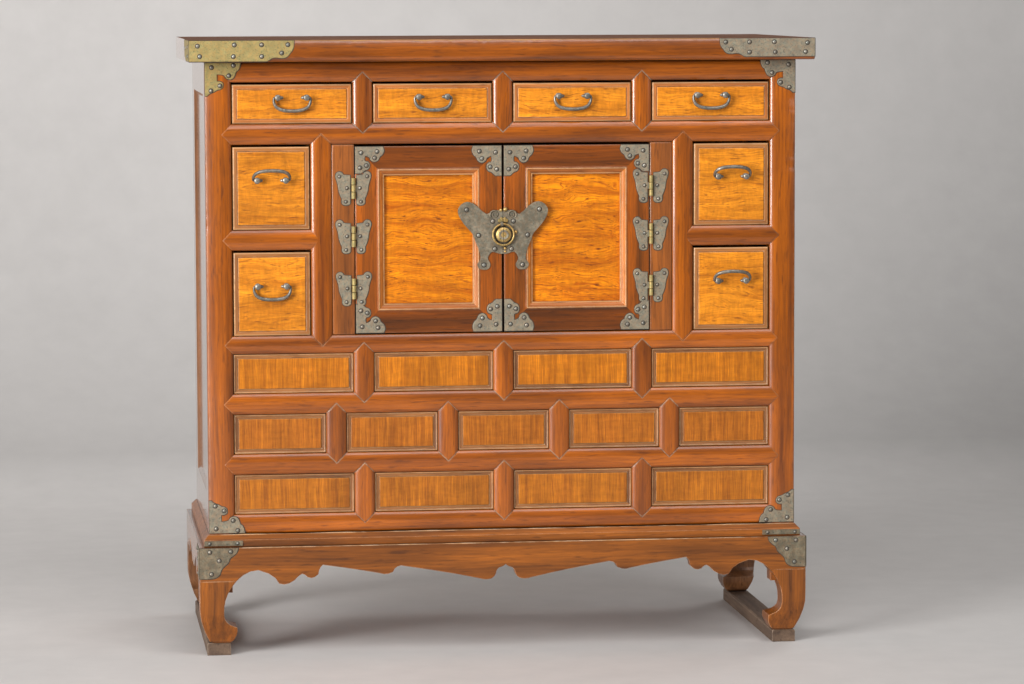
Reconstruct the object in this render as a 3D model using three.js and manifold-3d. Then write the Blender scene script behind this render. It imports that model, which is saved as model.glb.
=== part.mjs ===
// A low cupboard on a stand: four small drawers under the top, a pair of doors with two drawers on
// each side of them, three rows of fixed panels below, and a stand with a scalloped apron.
//
// Millimetres. The origin is on the floor under the middle of the cupboard. X runs to the right,
// Y to the back and Z up, so the front faces -Y.

import * as THREE from "three";
import { mergeVertices } from "three/addons/utils/BufferGeometryUtils.js";
import Module from "manifold-3d";

const wasm = await Module();
wasm.setup();

// Clearances
const jointGap = 0.3; // between two pieces that are joined
const fit = jointGap / 2; // what each of the two gives up
const mitreFit = fit * Math.SQRT2; // the same, measured along the axis of a 45 degree mitre
const cutOverrun = 2; // how far a cutter reaches past what it cuts
const weldTolerance = 1e-4; // points closer than this are one point

// Top board
const topSideOverhang = 26.3;
const topFrontOverhang = 33.25; // and the same at the back
const topThickness = 32.6;
const topEdgeRadius = 7;

// Case: widths, from the corner inwards
const bodyWidth = 888;
const bodyDepth = 414.5;
const cornerPostWidth = 39;
const sideBayWidth = 116.5;
const innerPostWidth = 32;
const hingeStileWidth = 33.5;

// Case: heights, from the bottom up
const bottomRailHeight = 29.5;
const rowHeight = 59;
const rowRailHeight = 31.5;
const waistRailHeight = 27.5;
const bayHeight = 284;
const shortRailHeight = 31;
const upperDrawerOpening = 126;
const drawerRailHeight = 31.5;
const topDrawerOpening = 61;
const topRailHeight = 30.4;

// Front bars: a flat crown that rounds down to the edges, with a mitred point at each end
const barDepth = 24;
const barEdgeDrop = 5.2;
const barEdgeRun = 12;
const mitreDepth = 10;
const topMullionWidth = 30;
const topMullionCount = 3;
const rowMullionWidth = 31;
const rowPanelCounts = { upper: 4, middle: 5, lower: 4 };

// Corner post: a bar's edge and crown, a groove, and a flat outer strip
const postCrownWidth = 21;
const postGrooveWidth = 6.6;
const postGrooveDepth = 2.5;
const postCornerRadius = 2;

// Panels
const rowPanelSetback = 8.2;
const rowPanelThickness = 12;
const fieldMargin = 8;
const fieldRise = 2.4;
const fieldChamfer = 2;

// Boards inside the case
const sideThickness = 18;
const sideStileWidth = 60;
const sideTopRailHeight = 48;
const sideBottomRailHeight = 57;
const sidePanelSetback = 4;
const sideMouldingWidth = 6;
const backThickness = 10;
const deckThickness = 14;
const floorThickness = 12;
const floorSetUp = 10;
const shelfThickness = 12;
const partitionThickness = 14;
const dividerThickness = 12;
const guideHeight = 20;
const guideEndClearance = 8;

// Doors
const doorSetback = 4.25;
const doorThickness = 20;
const doorTopGap = 3.2;
const doorBottomGap = 1.5;
const doorHingeGap = 1.3;
const doorSeamGap = 3;
const doorMemberWidth = 34;
const doorMouldingWidth = 10;
const doorMouldingDrop = 4;
const doorPanelThickness = 8;
const doorPanelLap = 6;

// Hinges: how far each is from the middle of the door bay, as a share of its height
const hingePlaceShares = [0.2694, 0.0158, -0.2588];
const leafWidth = 26;
const leafHeight = 48;
const leafThickness = 1.2;
const leafLetIn = 0.4; // how far a leaf is let into the wood
const barrelRadius = 3.2;
const barrelHeight = 31;
const pinRadius = 1.4;
const pinBoreClearance = 0.4;
const knuckleGap = 0.4;
const knuckleShare = 0.36; // the door's knuckle, of the barrel
const pinFromDoorEdge = 2.6;
const leafShares = [
  [0.12, 0.66], [0.2, 0.76], [0.62, 0.95], [0.8, 0.99], [0.98, 0.77], [0.87, 0.44], [0.81, 0.08],
  [0.65, -0.5], [0.62, -0.88], [0.54, -0.99], [0.24, -0.99], [0.18, -0.67],
];

// Lock plate, its boss, the eye and the ring
const lockRise = 5.4; // from the middle of the door bay to the boss
const lockHalfWidth = 68;
const lockHalfHeight = 52;
const lockPlateThickness = 1.4;
const lockPlateSeam = 0.8;
const lockPlateShares = [
  [0.21, 0.7], [0.37, 0.59], [0.62, 0.87], [0.8, 0.95], [0.95, 0.84], [1, 0.64], [0.89, 0.35], [0.68, 0.03],
  [0.62, -0.17], [0.53, -0.46], [0.5, -0.7], [0.575, -0.86], [0.5, -1], [0.34, -1], [0.28, -0.86],
  [0.34, -0.68], [0.25, -0.5], [0.1, -0.55],
];
const lockPlateTopShare = 0.68;
const lockPlateBottomShare = -0.56;
const bossRadius = 9;
const bossHeight = 11.5;
const bossProfileShares = [[0, 0], [1, 0], [1, 0.55], [0.86, 0.78], [0.8, 1], [0.3, 0.9], [0, 0.9]];
const ringRadius = 15.8;
const ringWire = 1.5;
const eyeWidth = 4;
const eyeClearance = 0.9;
const eyeWall = 1.5;
const eyeStandoff = 4.2;

// Drawers
const drawerSetback = 2.75;
const drawerBackSpace = 41.75; // free behind a drawer that is pushed in
const drawerSideGap = 1.3;
const drawerTopGap = 3;
const drawerFrontThickness = 16;
const drawerSideThickness = 8;
const drawerBottomThickness = 6;
const drawerSideDrop = 6;
const drawerFieldRise = 1;
const drawerFieldChamfer = 1.5;

// Bail handles
const postSpacing = 42.5;
const postCapRadius = 3.7;
const postLength = 13.8;
const postProfileShares = [
  [0, -0.15], [0.8, -0.15], [0.8, 0.8], [1, 0.82], [0.92, 0.92], [0.5, 0.99], [0, 1],
];
const bailPivotHeight = 8;
const bailWire = 1.6;
const bailBoreClearance = 0.4;
const bailWidth = 57;
const bailDrop = 22;
const bailPathShares = [
  [0.7, 0], [0.82, 0], [0.93, 0], [0.985, -0.05], [1, -0.16], [0.985, -0.4], [0.88, -0.69], [0.66, -0.88],
  [0.35, -0.975], [0, -1],
];
const topBailRise = 9.5; // from the middle of a drawer's front to the handle's pivot
const sideBailRise = 12;
const raisedBail = THREE.MathUtils.degToRad(-140);

// Stand
const runnerWidth = 35;
const runnerHeight = 19;
const runnerFrontInset = 22.5; // behind the front of the stand
const runnerBackInset = 7.5;
const runnerEdge = 2;
const standSideReach = 15.5; // past the side of the case
const standFrontReach = 15.25; // past its front, and the same at the back
const beltHeight = 18;
const beltSetback = 7.5;
const beltSlopeRun = 7;
const beltSlopeHeight = 7.5;
const beltMember = 60;
const apronHeight = 50.5;
const apronThickness = 20;
const legHeight = 95.7; // up to the apron
const legWidth = 54.5;
const legPostWidth = 50;
const legPostLap = 20; // how far the post behind the aprons runs down into the foot

// Lower edge of the long apron, from the middle to the leg: control point, then end point. The
// first of each pair is a share of the half length, the second of the apron's height.
const longApronMiddleShare = 0.34;
const longApronShares = [
  [[0.008, 0.27], [0.024, 0.24]],
  [[0.034, 0.2], [0.037, 0.06]],
  [[0.043, -0.08], [0.062, -0.1]],
  [[0.08, -0.12], [0.098, -0.07]],
  [[0.2, 0.12], [0.39, 0.366]],
  [[0.415, 0.34], [0.42, 0.18]],
  [[0.444, 0.07], [0.47, 0.15]],
  [[0.57, 0.31], [0.68, 0.435]],
  [[0.694, 0.36], [0.697, 0.16]],
  [[0.716, -0.01], [0.738, 0.08]],
  [[0.746, 0.17], [0.757, 0.18]],
  [[0.77, 0.14], [0.784, 0]],
  [[0.815, -0.19], [0.842, -0.1]],
  [[0.854, 0.18], [0.918, 0.317]],
  [[0.963, 0.317], [1, 0]],
];
const shortApronMiddleShare = 0.3;
const shortApronShares = [
  [[0.02, 0.02], [0.08, -0.06]],
  [[0.13, -0.13], [0.17, -0.07]],
  [[0.35, 0.25], [0.6, 0.42]],
  [[0.64, 0.34], [0.65, 0.1]],
  [[0.69, -0.1], [0.74, -0.06]],
  [[0.78, 0.22], [0.86, 0.31]],
  [[0.94, 0.31], [1, 0]],
];

// Leg, seen from the front: shares of its width, inwards from the outer face, and of its height
const legInnerShares = [
  [1, 1], [0.83, 0.87], [0.7, 0.7], [0.66, 0.52], [0.69, 0.39], [0.82, 0.31], [1.02, 0.26],
];
const legToeShares = [[1.02, 0.26], [1.03, 0.19], [1, 0.12], [0.91, 0.03], [0.82, 0]];
const legOuterShares = [[0.36, 0], [0.25, 0.05], [0.1, 0.26], [0.02, 0.43], [0, 0.6], [0, 1]];

// Fineness of the curves
const edgeSegments = 4;
const curveSegments = 3;
const outlineSegments = 24;
const leafSegments = 16;
const legSegments = 12;
const bossSegments = 24;
const postSegments = 10;
const roundSegments = 12;
const wireSides = 6;
const bailSteps = 16;
const ringSteps = 20;

// Levels and lines that follow from the sizes
const topWidth = bodyWidth + 2 * topSideOverhang;
const topDepth = bodyDepth + 2 * topFrontOverhang;
const standWidth = bodyWidth + 2 * standSideReach;
const standDepth = bodyDepth + 2 * standFrontReach;
const caseFront = -bodyDepth / 2;
const caseBack = bodyDepth / 2;
const barBack = caseFront + barDepth;
const beltTop = runnerHeight + jointGap + legHeight + apronHeight + beltHeight;
const rowLevels = {};
rowLevels.lower = beltTop + bottomRailHeight;
rowLevels.middle = rowLevels.lower + rowHeight + rowRailHeight;
rowLevels.upper = rowLevels.middle + rowHeight + rowRailHeight;
const waistBottom = rowLevels.upper + rowHeight;
const bayBottom = waistBottom + waistRailHeight;
const bayTop = bayBottom + bayHeight;
const topDrawerBottom = bayTop + drawerRailHeight;
const topDrawerTop = topDrawerBottom + topDrawerOpening;
const caseTop = topDrawerTop + topRailHeight;
const upperDrawerBottom = bayTop - upperDrawerOpening;
const lowerDrawerOpening = bayHeight - upperDrawerOpening - shortRailHeight;
const innerHalf = bodyWidth / 2 - cornerPostWidth; // the width between the corner posts, halved
const sideInner = bodyWidth / 2 - sideThickness;
const innerPostOuter = innerHalf - sideBayWidth;
const innerPostInner = innerPostOuter - innerPostWidth;
const bayHalf = innerPostInner - hingeStileWidth;
const backFront = caseBack - backThickness;
const drawerDepth = backFront - drawerBackSpace - (caseFront + drawerSetback);
const topDrawerWidth = (2 * innerHalf - topMullionCount * topMullionWidth) / (topMullionCount + 1);
const topDrawerPitch = topDrawerWidth + topMullionWidth;
const doorFace = caseFront + doorSetback;
const doorHeight = bayHeight - doorTopGap - doorBottomGap;
const doorOuter = bayHalf - doorHingeGap;
const pinX = doorOuter + pinFromDoorEdge;
const pinY = doorFace - barrelRadius - jointGap;
const bayMiddle = bayBottom + bayHeight / 2;
const hingePlaces = hingePlaceShares.map((share) => share * bayHeight);

// Materials
const wood = (color) => new THREE.MeshStandardMaterial({ color, roughness: 0.45, metalness: 0 });
const metal = (color) => new THREE.MeshStandardMaterial({ color, roughness: 0.4, metalness: 0.9 });
const frameWood = wood(0xa5552a);
const doorWood = wood(0x8a4524);
const panelWood = wood(0xd78c2c);
const drawerWood = wood(0xc87a30);
const caseWood = wood(0x7c5236);
const standWood = wood(0x9a4a22);
const runnerWood = wood(0x8f7a66);
const agedBrass = metal(0x96907a);
const brightBrass = metal(0xc9a24e);

// Solids and meshes

function toSolid(geometry) {
  const bare = geometry.clone();
  for (const name of Object.keys(bare.attributes)) {
    if (name !== "position") bare.deleteAttribute(name);
  }
  const merged = mergeVertices(bare, weldTolerance);
  const vertProperties = Float32Array.from(merged.attributes.position.array);
  const triVerts = Uint32Array.from(merged.index.array);
  return new wasm.Manifold(new wasm.Mesh({ numProp: 3, vertProperties, triVerts }));
}

function toMesh(name, solid, material) {
  const { vertProperties, triVerts } = solid.getMesh();
  const geometry = new THREE.BufferGeometry();
  geometry.setAttribute("position", new THREE.BufferAttribute(Float32Array.from(vertProperties), 3));
  geometry.setIndex(Array.from(triVerts));
  const flat = geometry.toNonIndexed();
  flat.computeVertexNormals();
  const mesh = new THREE.Mesh(flat, material);
  mesh.name = name;
  return mesh;
}

function joined(first, ...others) {
  return others.reduce((sum, other) => sum.add(other), first);
}

function groupOf(...children) {
  const group = new THREE.Group();
  group.add(...children);
  return group;
}

function placed(object, x, y, z) {
  object.position.set(x, y, z);
  return object;
}

// A box between two values on each axis.
function block([x0, x1], [y0, y1], [z0, z1]) {
  const geometry = new THREE.BoxGeometry(x1 - x0, y1 - y0, z1 - z0);
  geometry.translate((x0 + x1) / 2, (y0 + y1) / 2, (z0 + z1) / 2);
  return toSolid(geometry);
}

const axisX = new THREE.Vector3(1, 0, 0);
const axisY = new THREE.Vector3(0, 1, 0);
const axisZ = new THREE.Vector3(0, 0, 1);

function extruded(shape, depth, segments = curveSegments) {
  return new THREE.ExtrudeGeometry(shape, { depth, bevelEnabled: false, curveSegments: segments });
}

// A shape drawn in (x, y), standing between two heights.
function prismZ(shape, [z0, z1]) {
  return toSolid(extruded(shape, z1 - z0).translate(0, 0, z0));
}

// A shape drawn in (y, z), lying between two values of x.
function prismX(shape, [x0, x1]) {
  const turn = new THREE.Matrix4().makeBasis(axisY, axisZ, axisX);
  return toSolid(extruded(shape, x1 - x0).applyMatrix4(turn).translate(x0, 0, 0));
}

// A shape drawn in (x, z), between two values of y.
function prismY(shape, [y0, y1]) {
  const turn = new THREE.Matrix4().makeBasis(axisX, axisZ, axisY.clone().negate());
  return toSolid(extruded(shape, y1 - y0).applyMatrix4(turn).translate(0, y1, 0));
}

function shapeOf(points) {
  return new THREE.Shape(points.map(([u, v]) => new THREE.Vector2(u, v)));
}

// Points on a smooth curve through the given ones.
function smooth(points, segments = outlineSegments) {
  const curve = new THREE.SplineCurve(points.map(([u, v]) => new THREE.Vector2(u, v)));
  return curve.getPoints(segments).map((point) => [point.x, point.y]);
}

function scaledShares(shares, width, height) {
  return shares.map(([u, v]) => [u * width, v * height]);
}

// A rectangular frustum facing the front: its size and place at the back and at the front.
function frustum([backWidth, backHeight], [frontWidth, frontHeight], [front, back]) {
  const geometry = new THREE.BoxGeometry(1, 1, 1);
  const position = geometry.attributes.position;
  for (let i = 0; i < position.count; i += 1) {
    const atFront = position.getY(i) < 0;
    const width = atFront ? frontWidth : backWidth;
    const height = atFront ? frontHeight : backHeight;
    position.setXYZ(i, position.getX(i) * width, atFront ? front : back, position.getZ(i) * height);
  }
  return toSolid(geometry);
}

function shifted(solid, x, y, z) {
  return solid.translate([x, y, z]);
}

// A solid turned about the Y axis from a profile of radius and distance to the front.
function turned(profile, segments) {
  const points = profile.map(([radius, out]) => new THREE.Vector2(radius, out));
  return toSolid(new THREE.LatheGeometry(points, segments).rotateX(Math.PI));
}

// A round bar or bore along one axis, centred on the origin.
function round(radius, length, axis) {
  const geometry = new THREE.CylinderGeometry(radius, radius, length, roundSegments);
  geometry.applyQuaternion(new THREE.Quaternion().setFromUnitVectors(axisY, axis));
  return toSolid(geometry);
}

// A wire of round section along a curve.
function wire(curve, radius, steps) {
  const circle = new THREE.EllipseCurve(0, 0, radius, radius).getPoints(wireSides);
  const section = new THREE.Shape(circle.slice(1));
  return toSolid(new THREE.ExtrudeGeometry(section, { steps, bevelEnabled: false, extrudePath: curve }));
}

// Front bars

// A bar's section: x across it, y from its crown to its back.
function barSection(width) {
  const flat = width / 2 - barEdgeRun;
  const edge = new THREE.EllipseCurve(flat, barEdgeDrop, barEdgeRun, barEdgeDrop, 0, -Math.PI / 2, true);
  const right = edge.getPoints(edgeSegments).map((point) => [point.x, point.y]);
  const left = right.map(([x, y]) => [-x, y]).reverse();
  return shapeOf([...right, ...left, [-width / 2, barDepth], [width / 2, barDepth]]);
}

// A corner post's section, with x from its inner edge outwards.
function cornerPostSection() {
  const edge = new THREE.EllipseCurve(
    fit + barEdgeRun, barEdgeDrop, barEdgeRun, barEdgeDrop, -Math.PI, -Math.PI / 2, false,
  );
  const stripStart = postCrownWidth + postGrooveWidth;
  return shapeOf([
    ...edge.getPoints(edgeSegments).map((p) => [p.x, p.y]),
    [postCrownWidth, 0],
    [postCrownWidth + postGrooveWidth / 2, postGrooveDepth],
    [stripStart, 0],
    [cornerPostWidth - postCornerRadius, 0],
    [cornerPostWidth, postCornerRadius],
    [cornerPostWidth, barDepth],
    [fit, barDepth],
  ]);
}

// The mitred point of a bar of this width that enters a neighbour at z = 0 and points up.
function pointShape(width) {
  const reach = width / 2 + mitreFit;
  return shapeOf([[-reach - cutOverrun, -cutOverrun], [reach + cutOverrun, -cutOverrun], [0, reach]]);
}

// What a neighbour loses to a bar that enters it. The edge is +1 for the neighbour's +x edge and -1
// for the other.
function pointCut(width, neighbourWidth, edge, along) {
  const cut = prismY(pointShape(width), [-cutOverrun, mitreDepth + fit]);
  const turnedIn = cut.rotate([0, -edge * 90, 0]);
  return shifted(turnedIn, (edge * neighbourWidth) / 2, 0, along);
}

// A bar along z between two shoulders at plus and minus half its length, with a point past each.
function pointedBar(width, length) {
  const section = barSection(width - jointGap);
  const tip = length / 2 + width / 2 - mitreFit;
  const side = width / 2 + cutOverrun;
  const points = shapeOf([
    [0, tip], [side, tip - side], [side, side - tip], [0, -tip], [-side, side - tip], [-side, tip - side],
  ]);
  const front = prismY(points, [-cutOverrun, mitreDepth]);
  const shoulder = length / 2 - fit;
  const back = block([-side, side], [mitreDepth / 2, barDepth + cutOverrun], [-shoulder, shoulder]);
  return prismZ(section, [-tip, tip]).intersect(front.add(back));
}

// A rail is a bar laid down: its +x edge becomes its top.
function laidDown(object) {
  object.rotation.y = -Math.PI / 2;
  return object;
}

function rail(name, width, length, level, cuts, extra = []) {
  let solid = pointedBar(width, length);
  for (const cut of cuts) solid = solid.subtract(cut);
  const mesh = laidDown(toMesh(name, joined(solid, ...extra), frameWood));
  return placed(mesh, 0, caseFront, level + width / 2);
}

// The middles of the mullions between this many equal openings across the front.
function mullionPlaces(openings, width) {
  const pitch = (2 * innerHalf + width) / openings;
  return Array.from({ length: openings - 1 }, (_, i) => (i + 1) * pitch - innerHalf - width / 2);
}

const topMullions = mullionPlaces(topMullionCount + 1, topMullionWidth);
const rowMullions = {};
for (const [row, count] of Object.entries(rowPanelCounts)) {
  rowMullions[row] = mullionPlaces(count, rowMullionWidth);
}
const innerPosts = [-1, 1].map((side) => side * (innerPostInner + innerPostWidth / 2));

function cutsFor(places, width, railHeight, edge) {
  return places.map((place) => pointCut(width, railHeight, edge, -place));
}

// A board behind a rail and joined to it, in the rail's own frame: x is up from the rail's middle.
function boardBehind([bottom, top], railMiddle) {
  const height = [bottom - railMiddle, top - railMiddle];
  const behindPosts = block(
    height, [barDepth + fit, backFront - caseFront - fit], [fit - sideInner, sideInner - fit],
  );
  const tongue = block(height, [barDepth / 2, barDepth + cutOverrun], [fit - innerHalf, innerHalf - fit]);
  return behindPosts.add(tongue);
}

function makeRails() {
  const span = 2 * innerHalf;
  const topRail = rail(
    "top_rail", topRailHeight, span, topDrawerTop,
    cutsFor(topMullions, topMullionWidth, topRailHeight, -1),
  );
  const deckTop = topDrawerBottom;
  const drawerRail = rail(
    "drawer_rail", drawerRailHeight, span, bayTop,
    [
      ...cutsFor(topMullions, topMullionWidth, drawerRailHeight, 1),
      ...cutsFor(innerPosts, innerPostWidth, drawerRailHeight, -1),
    ],
    [boardBehind([deckTop - deckThickness, deckTop - fit], bayTop + drawerRailHeight / 2)],
  );
  const waistRail = rail(
    "waist_rail", waistRailHeight, span, waistBottom,
    [
      ...cutsFor(innerPosts, innerPostWidth, waistRailHeight, 1),
      ...cutsFor(rowMullions.upper, rowMullionWidth, waistRailHeight, -1),
    ],
  );
  const rowRailUpper = rail(
    "row_rail_upper", rowRailHeight, span, rowLevels.middle + rowHeight,
    [
      ...cutsFor(rowMullions.upper, rowMullionWidth, rowRailHeight, 1),
      ...cutsFor(rowMullions.middle, rowMullionWidth, rowRailHeight, -1),
    ],
  );
  const rowRailLower = rail(
    "row_rail_lower", rowRailHeight, span, rowLevels.lower + rowHeight,
    [
      ...cutsFor(rowMullions.middle, rowMullionWidth, rowRailHeight, 1),
      ...cutsFor(rowMullions.lower, rowMullionWidth, rowRailHeight, -1),
    ],
  );
  const floorBottom = beltTop + floorSetUp;
  const bottomRail = rail(
    "bottom_rail", bottomRailHeight, span, beltTop,
    cutsFor(rowMullions.lower, rowMullionWidth, bottomRailHeight, 1),
    [boardBehind([floorBottom, floorBottom + floorThickness], beltTop + bottomRailHeight / 2)],
  );
  return groupOf(topRail, drawerRail, waistRail, rowRailUpper, rowRailLower, bottomRail);
}

// The rails that enter a corner post: the middle of each, and its height.
const railLines = [
  [caseTop - topRailHeight / 2, topRailHeight],
  [bayTop + drawerRailHeight / 2, drawerRailHeight],
  [upperDrawerBottom - shortRailHeight / 2, shortRailHeight],
  [bayBottom - waistRailHeight / 2, waistRailHeight],
  [rowLevels.upper - rowRailHeight / 2, rowRailHeight],
  [rowLevels.middle - rowRailHeight / 2, rowRailHeight],
  [rowLevels.lower - bottomRailHeight / 2, bottomRailHeight],
];

// The right-hand corner post, inner post, hinge stile, short rail and shelf.
function makeCornerPost(name) {
  let solid = prismZ(cornerPostSection(), [beltTop + fit, caseTop - fit]);
  for (const [middle, height] of railLines) {
    solid = solid.subtract(pointCut(height, 0, -1, middle));
  }
  return placed(toMesh(name, solid, frameWood), innerHalf, caseFront, 0);
}

function makeInnerPost(name) {
  const shortRailMiddle = upperDrawerBottom - shortRailHeight / 2;
  const cut = pointCut(shortRailHeight, innerPostWidth, 1, shortRailMiddle - bayMiddle);
  const solid = pointedBar(innerPostWidth, bayHeight).subtract(cut);
  return placed(toMesh(name, solid, frameWood), innerPostInner + innerPostWidth / 2, caseFront, bayMiddle);
}

// The short rail between two side drawers, with the shelf that the upper one runs on.
function makeDrawerShelf(name) {
  const railMiddle = upperDrawerBottom - shortRailHeight / 2;
  const bayCentre = innerPostOuter + sideBayWidth / 2;
  const height = [shortRailHeight / 2 - shelfThickness, shortRailHeight / 2 - fit];
  const reach = sideBayWidth / 2 - fit;
  const tongue = block(height, [barDepth / 2, barDepth + cutOverrun], [-reach, reach]);
  const shelf = block(
    height, [barDepth + fit, backFront - caseFront - fit], [bayCentre - sideInner + fit, reach],
  );
  const solid = joined(pointedBar(shortRailHeight, sideBayWidth), tongue, shelf);
  return placed(laidDown(toMesh(name, solid, frameWood)), bayCentre, caseFront, railMiddle);
}

// Case boards

function makeTopBoard() {
  const halfDepth = topDepth / 2;
  const shape = new THREE.Shape();
  shape.moveTo(-halfDepth, topThickness);
  shape.lineTo(-halfDepth, topEdgeRadius);
  shape.absarc(topEdgeRadius - halfDepth, topEdgeRadius, topEdgeRadius, Math.PI, Math.PI * 1.5, false);
  shape.absarc(halfDepth - topEdgeRadius, topEdgeRadius, topEdgeRadius, -Math.PI / 2, 0, false);
  shape.lineTo(halfDepth, topThickness);
  const solid = prismX(shape, [-topWidth / 2, topWidth / 2]);
  return placed(toMesh("top_board", solid, frameWood), 0, 0, caseTop + fit);
}

// A side: frame and recessed panel in one, with a guide for each drawer that runs beside it.
function makeSide(name) {
  const front = barBack + fit;
  const bottom = beltTop + fit;
  const top = caseTop - fit;
  const outer = bodyWidth / 2;
  const board = block([sideInner, outer], [front, caseBack], [bottom, top]);
  const panelDepth = caseBack - sideStileWidth - (caseFront + sideStileWidth);
  const panelHeight = top - sideTopRailHeight - (bottom + sideBottomRailHeight);
  const moulding = 2 * sideMouldingWidth;
  const recess = frustum(
    [panelDepth - moulding, panelHeight - moulding], [panelDepth, panelHeight], [0, sidePanelSetback],
  ).rotate([0, 0, 90]);
  const cutter = shifted(recess, outer, 0, bottom + sideBottomRailHeight + panelHeight / 2);
  const guideDepth = [front, backFront - guideEndClearance];
  const guides = [topDrawerBottom, upperDrawerBottom, bayBottom].map((level) =>
    block([innerHalf + fit, sideInner + fit], guideDepth, [level + fit, level + guideHeight]),
  );
  return toMesh(name, joined(board.subtract(cutter), ...guides), caseWood);
}

function makeBack() {
  const half = sideInner - fit;
  const solid = block([-half, half], [backFront + fit, caseBack], [beltTop + fit, caseTop - fit]);
  return toMesh("back_panel", solid, caseWood);
}

// The partition beside the cupboard with the board under the lower side drawer.
function makeDrawerCase(name) {
  const depth = [barBack + fit, backFront - fit];
  const bottom = bayBottom - shelfThickness;
  const partitionInner = innerPostOuter - partitionThickness;
  const top = topDrawerBottom - deckThickness - fit;
  const partition = block([partitionInner, innerPostOuter - fit], depth, [bottom, top]);
  const board = block([partitionInner, sideInner - fit], depth, [bottom, bayBottom - fit]);
  return toMesh(name, partition.add(board), caseWood);
}

// A mullion between two top drawers, with the divider and its guides behind it.
function makeTopMullion(name, x) {
  const bar = pointedBar(topMullionWidth, topDrawerOpening);
  const half = topDrawerOpening / 2;
  const depth = [barDepth - cutOverrun, backFront - caseFront - guideEndClearance];
  const guideHalf = topMullionWidth / 2 - fit;
  const guide = block([-guideHalf, guideHalf], depth, [fit - half, guideHeight - half]);
  const divider = block([-dividerThickness / 2, dividerThickness / 2], depth, [fit - half, half - fit]);
  const mesh = toMesh(name, joined(bar, guide, divider), frameWood);
  return placed(mesh, x, caseFront, topDrawerBottom + half);
}

// Fixed panel rows

function makePanelRow(name, row) {
  const places = rowMullions[row];
  const pitch = (2 * innerHalf + rowMullionWidth) / rowPanelCounts[row];
  const fieldWidth = pitch - rowMullionWidth - 2 * fieldMargin;
  const fieldHeight = rowHeight - 2 * fieldMargin;
  const half = rowHeight / 2;
  const face = rowPanelSetback;
  const reach = innerHalf - fit;
  const board = block([-reach, reach], [face, face + rowPanelThickness], [fit - half, half - fit]);
  const fields = Array.from({ length: rowPanelCounts[row] }, (_, i) => {
    const x = (i + 0.5) * pitch - innerHalf - rowMullionWidth / 2;
    const field = frustum(
      [fieldWidth, fieldHeight],
      [fieldWidth - 2 * fieldChamfer, fieldHeight - 2 * fieldChamfer],
      [face - fieldRise, face + fieldRise],
    );
    return shifted(field, x, 0, 0);
  });
  const mullions = places.map((x) => shifted(pointedBar(rowMullionWidth, rowHeight), x, 0, 0));
  const solid = joined(board, ...fields, ...mullions);
  return placed(toMesh(name, solid, panelWood), 0, caseFront, rowLevels[row] + half);
}

// Hinges

// One leaf, x outwards from the pin, y from the wood to the front as negative.
function leafPlate() {
  const outline = smooth(scaledShares(leafShares, leafWidth, leafHeight / 2), leafSegments);
  const back = barrelRadius + jointGap;
  const front = back - leafThickness;
  const strap = block([0, barrelRadius * 2], [front, back], [-barrelHeight / 2, barrelHeight / 2]);
  return prismY(shapeOf(outline), [front, back + leafLetIn]).add(strap);
}

const knuckleHeight = barrelHeight * knuckleShare;

function barrelPart(radius, [bottom, top]) {
  return shifted(round(radius, top - bottom, axisZ), 0, 0, (bottom + top) / 2);
}

// The leaf on the stile: the two outer knuckles and the pin.
function fixedLeaf() {
  const start = knuckleHeight / 2 + knuckleGap;
  const clear = barrelPart(barrelRadius + knuckleGap, [-start, start]);
  const low = barrelPart(barrelRadius, [-barrelHeight / 2, -start]);
  const high = barrelPart(barrelRadius, [start, barrelHeight / 2]);
  const pin = barrelPart(pinRadius, [-barrelHeight / 2, barrelHeight / 2]);
  return joined(leafPlate().subtract(clear), low, high, pin);
}

// The leaf on the door: the middle knuckle, bored for the pin.
function movingLeaf() {
  const end = knuckleHeight / 2;
  const clearLow = barrelPart(barrelRadius + knuckleGap, [-leafHeight / 2, -end - fit]);
  const clearHigh = barrelPart(barrelRadius + knuckleGap, [end + fit, leafHeight / 2]);
  const knuckle = barrelPart(barrelRadius, [-end, end]);
  const bore = barrelPart(pinRadius + pinBoreClearance, [-leafHeight, leafHeight]);
  return leafPlate().subtract(clearLow).subtract(clearHigh).add(knuckle).subtract(bore);
}

function makeHingeStile(name) {
  const board = block(
    [bayHalf, innerPostInner - fit], [doorFace, barBack], [bayBottom + fit, bayTop - fit],
  );
  const leaves = hingePlaces.map((place) => shifted(fixedLeaf(), pinX, pinY, bayMiddle + place));
  return toMesh(name, joined(board, ...leaves), frameWood);
}

// Doors

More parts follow.
